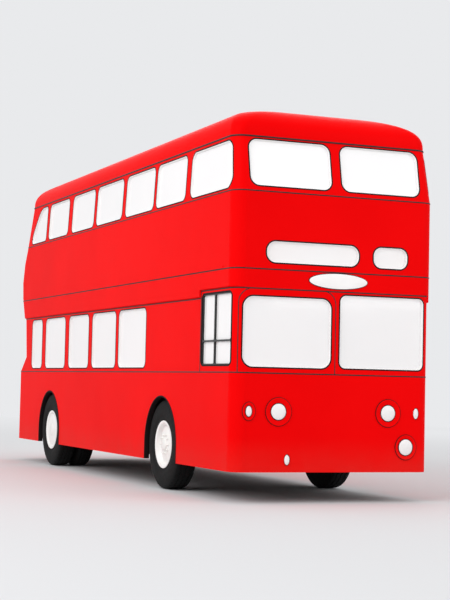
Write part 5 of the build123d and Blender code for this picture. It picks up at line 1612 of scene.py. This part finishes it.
def louvre(left, right, top):
    """A pressed louvre on the flat of the cover: its grid runs left to right and round a section."""
    share = np.linspace(0, 1, 15)[:, None]
    fade = np.sqrt(np.clip(1 - np.abs(2 * share - 1) ** 5, 0, 1))
    drop = np.linspace(0, 1, 7)
    out = np.concatenate((LOUVRE_DEPTH * np.sin(drop * np.pi / 2), (LOUVRE_DEPTH - 0.002, 0, 0)))
    down = np.concatenate((LOUVRE_HIGH * drop, (LOUVRE_HIGH + 0.001, LOUVRE_HIGH - 0.006, 0.0)))
    grid = np.stack((left + (right - left) * share + 0 * out,
                     TAIL_Y + np.where(out > 0, out * fade, -0.001), top - down + 0 * share), axis=-1)
    return shell(grid, wrap_columns=True, caps=True)


def make_cover_fittings():
    """Louvres with black slabs under them as painted shade in their open lips, the handle, and a
    blank plate with its lamp.
    """
    scoops, shade_slabs, on_cover = [], [], {"body": "engine_cover"}
    for top in np.arange(0.700, 1.160, 0.050):
        low = top - LOUVRE_HIGH
        for left, right in ((-0.780, -0.340), (0.340, 0.780)):
            scoops.append(louvre(left, right, top))
            # A black slab under each louvre is painted shade: it stands for the dark inside its open
            # lip.
            shade_slabs.append(block(left + 0.02, right - 0.02, TAIL_Y - 0.001,
                                TAIL_Y + LOUVRE_DEPTH - 0.003, low - 0.003, low, 0.001))
    piece("cover_louvres", scoops, enamel, slot="red_paint", **on_cover)
    piece("cover_louvre_painted_shade", shade_slabs, trim_black, smooth=False, **on_cover)
    bend = ((HANDLE_HALF, -0.002), (HANDLE_HALF, BAR_OUT - 0.005), (0.070, BAR_OUT - 0.001),
            (0.064, BAR_OUT))
    handle = [(-x, y, 0) for x, y in bend] + [(x, y, 0) for x, y in bend[::-1]]
    flanges = [turned(HANDLE_FLANGE, (x, TAIL_Y, HANDLE_Z), (0, 1, 0), 24)
               for x in (-HANDLE_HALF, HANDLE_HALF)]
    piece("cover_handle", [pipe(handle, 0.0055, origin=(0, TAIL_Y, HANDLE_Z)), *flanges],
          stainless, **on_cover)
    outline = rounded_corners(rectangle(-0.262, 0.262, 0.566 - PLATE_Z, 0.680 - PLATE_Z), 0.012)
    for name, layers, material in (("plate_holder", HOLDER_LAYERS, trim_black),
                                   ("blank_plate", PLATE_LAYERS, plate_enamel)):
        grid = np.array([np.insert(outline * (wide, high) + (0, PLATE_Z), 1, TAIL_Y + out, axis=1)
                         for wide, high, out in layers])
        piece(name, [shell(grid, caps=True)], material, smooth=False, **on_cover)
    hood = block(-0.055, 0.055, TAIL_Y - 0.001, TAIL_Y + 0.017, 0.694, 0.716, 0.005)
    piece("plate_lamp_hood", [hood], stainless, **on_cover)
    lens = block(-0.045, 0.045, TAIL_Y + 0.002, TAIL_Y + 0.014, 0.689, 0.696, 0.002)
    piece("plate_lamp_lens", [lens], clear_lens, **on_cover)


def bar_handle(ends, reach, radius):
    """A bar on two short legs that stand off the tail's surface."""
    (a, b), (out, _) = rear_surface(ends)
    step = unit(b - a) * radius
    return pipe([a - out * 0.002, a + out * (reach - radius), a + step + out * reach,
                 b - step + out * reach, b + out * (reach - radius), b - out * 0.002], radius)


make_cover_fittings()
piece("exit_handle", [bar_handle([(-0.07, 3.473), (0.07, 3.473)], 0.020, 0.006)], stainless,
      body="emergency_window")
ends = np.repeat(rear_surface([(-0.30, 3.473), (0.30, 3.473)])[0], 2, axis=0)
inwards = ((0, -0.060, 0.010), (0, -0.095, 0), (0, -0.095, 0), (0, -0.060, 0.010))
piece("exit_release_bar", [pipe(ends + inwards, 0.008)], stainless, body="emergency_window")

# %% [markdown]
# ## Engine
# A transverse diesel fills its bay: sump, crankcase, cylinder head and two rocker covers, with the
# exhaust manifold, injection pump and pipes towards the cover, a flywheel housing on the nearside
# and belt pulleys, a fan and hoses on the offside.

# %% Engine
ENGINE_Y = FRONT_Y + 8.735
MANIFOLD = ((-0.44, 0.235, 1.030), (0.30, 0.235, 1.030), (0.37, 0.235, 1.010),
            (0.40, 0.235, 0.950), (0.40, 0.235, 0.600), (0.40, 0.235, 0.475))
UPPER_HOSE = ((-0.770, 0.10, 1.266), (-0.700, 0.10, 1.262), (-0.640, 0.08, 1.220),
              (-0.600, 0.05, 1.140), (-0.560, 0.03, 1.070), (-0.500, 0.03, 1.050))
LOWER_HOSE = ((-0.770, -0.12, 0.490), (-0.690, -0.12, 0.495), (-0.620, -0.10, 0.540),
              (-0.560, -0.08, 0.600), (-0.510, -0.08, 0.640))
FILLER = ((0, 0.018), (0.012, 0.018), (0.016, 0.010), (0.030, 0.008), (0.030, TIP))
PUMP_UNION = ((0, 0.016), (0.034, 0.016), (0.040, 0.008), (0.040, TIP))
# Distance back, height and radius of each pulley
PULLEYS = ((0.0, 0.640, 0.110), (-0.12, 0.880, 0.070), (0.13, 0.900, 0.055))
FAN_BLADE = ((0.045, 0.022, 0), (0.120, 0.042, 0), (0.200, 0.055, 0), (0.235, 0.045, 0))


def drum(x0, x1, y, z, radii, sides=48):
    """A stepped drum along X: radii are (share of the length, radius)."""
    profile = [(0, TIP), *((share * (x1 - x0), radius) for share, radius in radii), (x1 - x0, TIP)]
    return turned(profile, (x0, y, z), (1, 0, 0), sides)


def make_castings(y):
    """Sump, crankcase, head and flywheel housing, with ribs and mounting feet."""
    iron = [brick((-0.02, y), (0.44, 0.15), 0.450, 0.580, 0.030),
            brick((-0.03, y), (0.49, 0.19), 0.575, 0.980, 0.020),
            brick((-0.03, y), (0.48, 0.16), 0.975, 1.110, 0.014),
            drum(0.455, 0.640, y, 0.760, ((0, 0.255), (0.45, 0.262), (0.46, 0.235), (1, 0.170)))]
    iron += [brick((x, y + 0.193), (0.008, 0.007), 0.640, 0.930, 0.003)
             for x in np.linspace(-0.47, 0.41, 12)]
    iron += [brick((x, y + v), (0.05, 0.045), 0.440, 0.600, 0.008)
             for x in (-0.42, 0.42) for v in (-0.20, 0.20)]
    piece("engine_castings", iron, engine_iron, slot="engine_iron", replaces=["engine_block"])


def make_manifold(y):
    """The exhaust manifold with a branch and a flange for each cylinder."""
    exhaust = [pipe(MANIFOLD, 0.032, 20, origin=(0, y, 0))]
    for x in np.linspace(-0.42, 0.34, 6):
        branch = ((x, 0.150, 1.045), (x, 0.200, 1.045), (x, 0.235, 1.030))
        exhaust += [pipe(branch, 0.024, 16, origin=(0, y, 0)),
                    brick((x, y + 0.164), (0.038, 0.006), 1.005, 1.085, 0.006)]
    piece("engine_manifold", exhaust, engine_iron)


def make_covers(y):
    """Two rocker covers, each with two filler caps."""
    bright = []
    for left, right in ((-0.500, -0.040), (-0.020, 0.440)):
        bright.append(block(left, right, y - 0.130, y + 0.130, 1.105, 1.215, 0.030))
        bright += [turned(FILLER, (x, y, 1.212), (0, 0, 1), 20) for x in (left + 0.10, right - 0.10)]
    piece("engine_covers", bright, aluminium)


def make_pump(y):
    """The injection pump with two drums beside it, and its six pipes to the head."""
    unions, heads = np.linspace(-0.34, -0.05, 6), np.linspace(-0.365, 0.285, 6)
    dark = [block(-0.36, -0.02, y + 0.190, y + 0.262, 0.700, 0.810, 0.012),
            turned(((0, TIP), (0, 0.060), (0.070, 0.060), (0.070, TIP)), (0.22, y + 0.185, 0.720),
                   (0, 1, 0), 40),
            drum(0.08, 0.34, y + 0.215, 0.860, ((0, 0.052), (0.7, 0.052), (0.75, 0.035), (1, 0.035)))]
    dark += [turned(PUMP_UNION, (x, y + 0.226, 0.808), (0, 0, 1), 16) for x in unions]
    piece("engine_pump", dark, trim_black)
    lines = [pipe(((a, 0.226, 0.840), (a, 0.226, 0.870 + 0.012 * k), (b, 0.205, 0.900 + 0.012 * k),
                   (b, 0.182, 0.960), (b, 0.178, 1.060)), 0.0045, 8, origin=(0, y, 0))
             for k, (a, b) in enumerate(zip(unions, heads))]
    piece("engine_pipes", lines, stainless)


def make_cooling(y):
    """Pulleys, fan, radiator and hoses at the offside end."""
    pulleys = [drum(-0.600, -0.515, y + v, z, (
        (0, radius), (0.12, radius), (0.25, radius - 0.012), (0.38, radius), (0.5, radius),
        (0.6, 0.030), (1, 0.030))) for v, z, radius in PULLEYS]
    pulleys.append(drum(-0.720, -0.515, y, 0.860, ((0, 0.050), (0.2, 0.055), (0.3, 0.028),
                                                   (1, 0.028))))
    piece("engine_pulleys", pulleys, chassis_paint)
    blades = [arm((-0.700, y, 0.860), np.array((0, math.cos(angle), math.sin(angle))),
                  np.array((1.0, 0, 0)), FAN_BLADE, 0.0015, 0.020)
              for angle in np.linspace(0, 2 * np.pi, 7)[:-1]]
    piece("engine_fan", blades, aluminium, smooth=False)
    core = block(-0.850, -0.775, y - 0.270, y + 0.270, 0.520, 1.240, 0.012)
    piece("radiator_core", [core], trim_black)
    tanks = [block(-0.850, -0.760, y - 0.272, y + 0.272, low, high, 0.020)
             for low, high in ((1.232, 1.300), (0.455, 0.528))]
    piece("radiator_tanks", tanks, chassis_paint)
    hoses = [pipe(path, radius, 20, origin=(0, y, 0))
             for path, radius in ((UPPER_HOSE, 0.030), (LOWER_HOSE, 0.026))]
    piece("engine_hoses", hoses, black_rubber)


for make in (make_castings, make_manifold, make_covers, make_pump, make_cooling):
    make(ENGINE_Y)

# %% [markdown]
# ## Underneath
# Springs of five leaves stand in for the frame's plain ones, with clips and shackle pins. Two air
# reservoirs hang on straps on the nearside, where the exhaust runs out low too.

# %% Springs, reservoirs and exhaust
RAIL_X, LEAF_TOP, LEAF_STEP, LEAF_THICK = 0.420, 0.484, 0.0088, 0.0085
LEAF_HALVES = (0.600, 0.560, 0.500, 0.400, 0.300)
SHACKLE_PIN = ((-0.044, TIP), (-0.044, 0.010), (0.044, 0.010), (0.044, TIP))
RESERVOIR_X, RESERVOIR_Z, RESERVOIR_RADIUS = 0.760, 0.445, 0.088
RESERVOIR_DISH, STRAP_HALF, STRAP_TOP = 0.045, 0.018, 0.6395
# The exhaust's x, distance from the manifold, and height
DOWNPIPE = ((0.40, 0, 0.480), (0.40, 0, 0.400), (0.415, -0.010, 0.345), (0.460, -0.030, 0.322),
            (0.560, -0.040, 0.320))
TAILPIPE = ((0.975, -0.040, 0.320), (1.020, -0.040, 0.320), (1.052, -0.030, 0.322),
            (1.066, 0.005, 0.326), (1.066, 0.120, 0.326))


def make_springs():
    """Leaf springs under the rails, on both axles: straight leaves that shorten downwards."""
    leaves, clips = [], []
    for y in (FRONT_AXLE_Y, REAR_AXLE_Y):
        for x in (-RAIL_X, RAIL_X):
            for k, half in enumerate(LEAF_HALVES):
                top = LEAF_TOP - LEAF_STEP * k
                leaves.append(brick((x, y), (0.035, half), top - LEAF_THICK, top, 0.003))
            for end in (-1, 1):
                leaves.append(brick((x, y + end * 0.570), (0.030, 0.028), 0.470, 0.4995, 0.006))
                clips.append(turned(SHACKLE_PIN, (x, y + end * 0.578, LEAF_TOP), (1, 0, 0), 20))
                clips += [pipe(((bolt_x, 0, 0.400), (bolt_x, 0, 0.498)), 0.007, 10,
                               origin=(0, y + end * 0.085, 0)) for bolt_x in (x - 0.043, x + 0.043)]
                clips += [brick((x, y + end * 0.085), (0.052, 0.012), LEAF_TOP, 0.498, 0.003),
                          brick((x, y + end * 0.330), (0.039, 0.012), 0.444, 0.488, 0.002)]
    piece("spring_leaves", leaves, chassis_paint, slot="chassis_paint", replaces=["leaf_springs"])
    piece("spring_clips", clips, trim_black)


def make_reservoirs():
    """Two drums with dished ends, each in two straps hung from the floor."""
    drums, straps, radius = [], [], RESERVOIR_RADIUS
    dish = np.linspace(0, np.pi / 2, 7)
    head = np.column_stack((RESERVOIR_DISH * (1 - np.cos(dish)), np.maximum(radius * np.sin(dish), TIP)))
    band = ((-STRAP_HALF, radius - 0.001), (-STRAP_HALF, radius + 0.004),
            (STRAP_HALF, radius + 0.004), (STRAP_HALF, radius - 0.001))
    for start, end in ((3.300, 4.050), (4.950, 5.700)):
        profile = np.vstack((head, (end - start, 0) + head[::-1] * (-1, 1)))
        drums.append(turned(profile, (RESERVOIR_X, FRONT_Y + start, RESERVOIR_Z), (0, 1, 0), 40))
        for station in (start + 0.15, end - 0.15):
            y = FRONT_Y + station
            straps.append(turned(band, (RESERVOIR_X, y, RESERVOIR_Z), (0, 1, 0), 48, closed=True))
            straps += [brick((RESERVOIR_X + edge * (radius + 0.001), y), (0.003, STRAP_HALF),
                             RESERVOIR_Z, STRAP_TOP, 0.001) for edge in (-1, 1)]
    piece("air_reservoirs", drums, trim_black)
    piece("reservoir_straps", straps, chassis_paint)


def make_exhaust():
    """A downpipe from the manifold, a silencer under the bay and a tailpipe."""
    y = ENGINE_Y + 0.235
    muffler = drum(0.545, 0.985, y - 0.040, 0.320, ((0.02, 0.060), (0.05, 0.072), (0.95, 0.072),
                                                    (0.98, 0.060)))
    piece("exhaust_pipe", [pipe(DOWNPIPE, 0.027, 20, origin=(0, y, 0)), muffler,
                           pipe(TAILPIPE, 0.024, 20, origin=(0, y, 0))], engine_iron)


make_springs()
make_reservoirs()
make_exhaust()
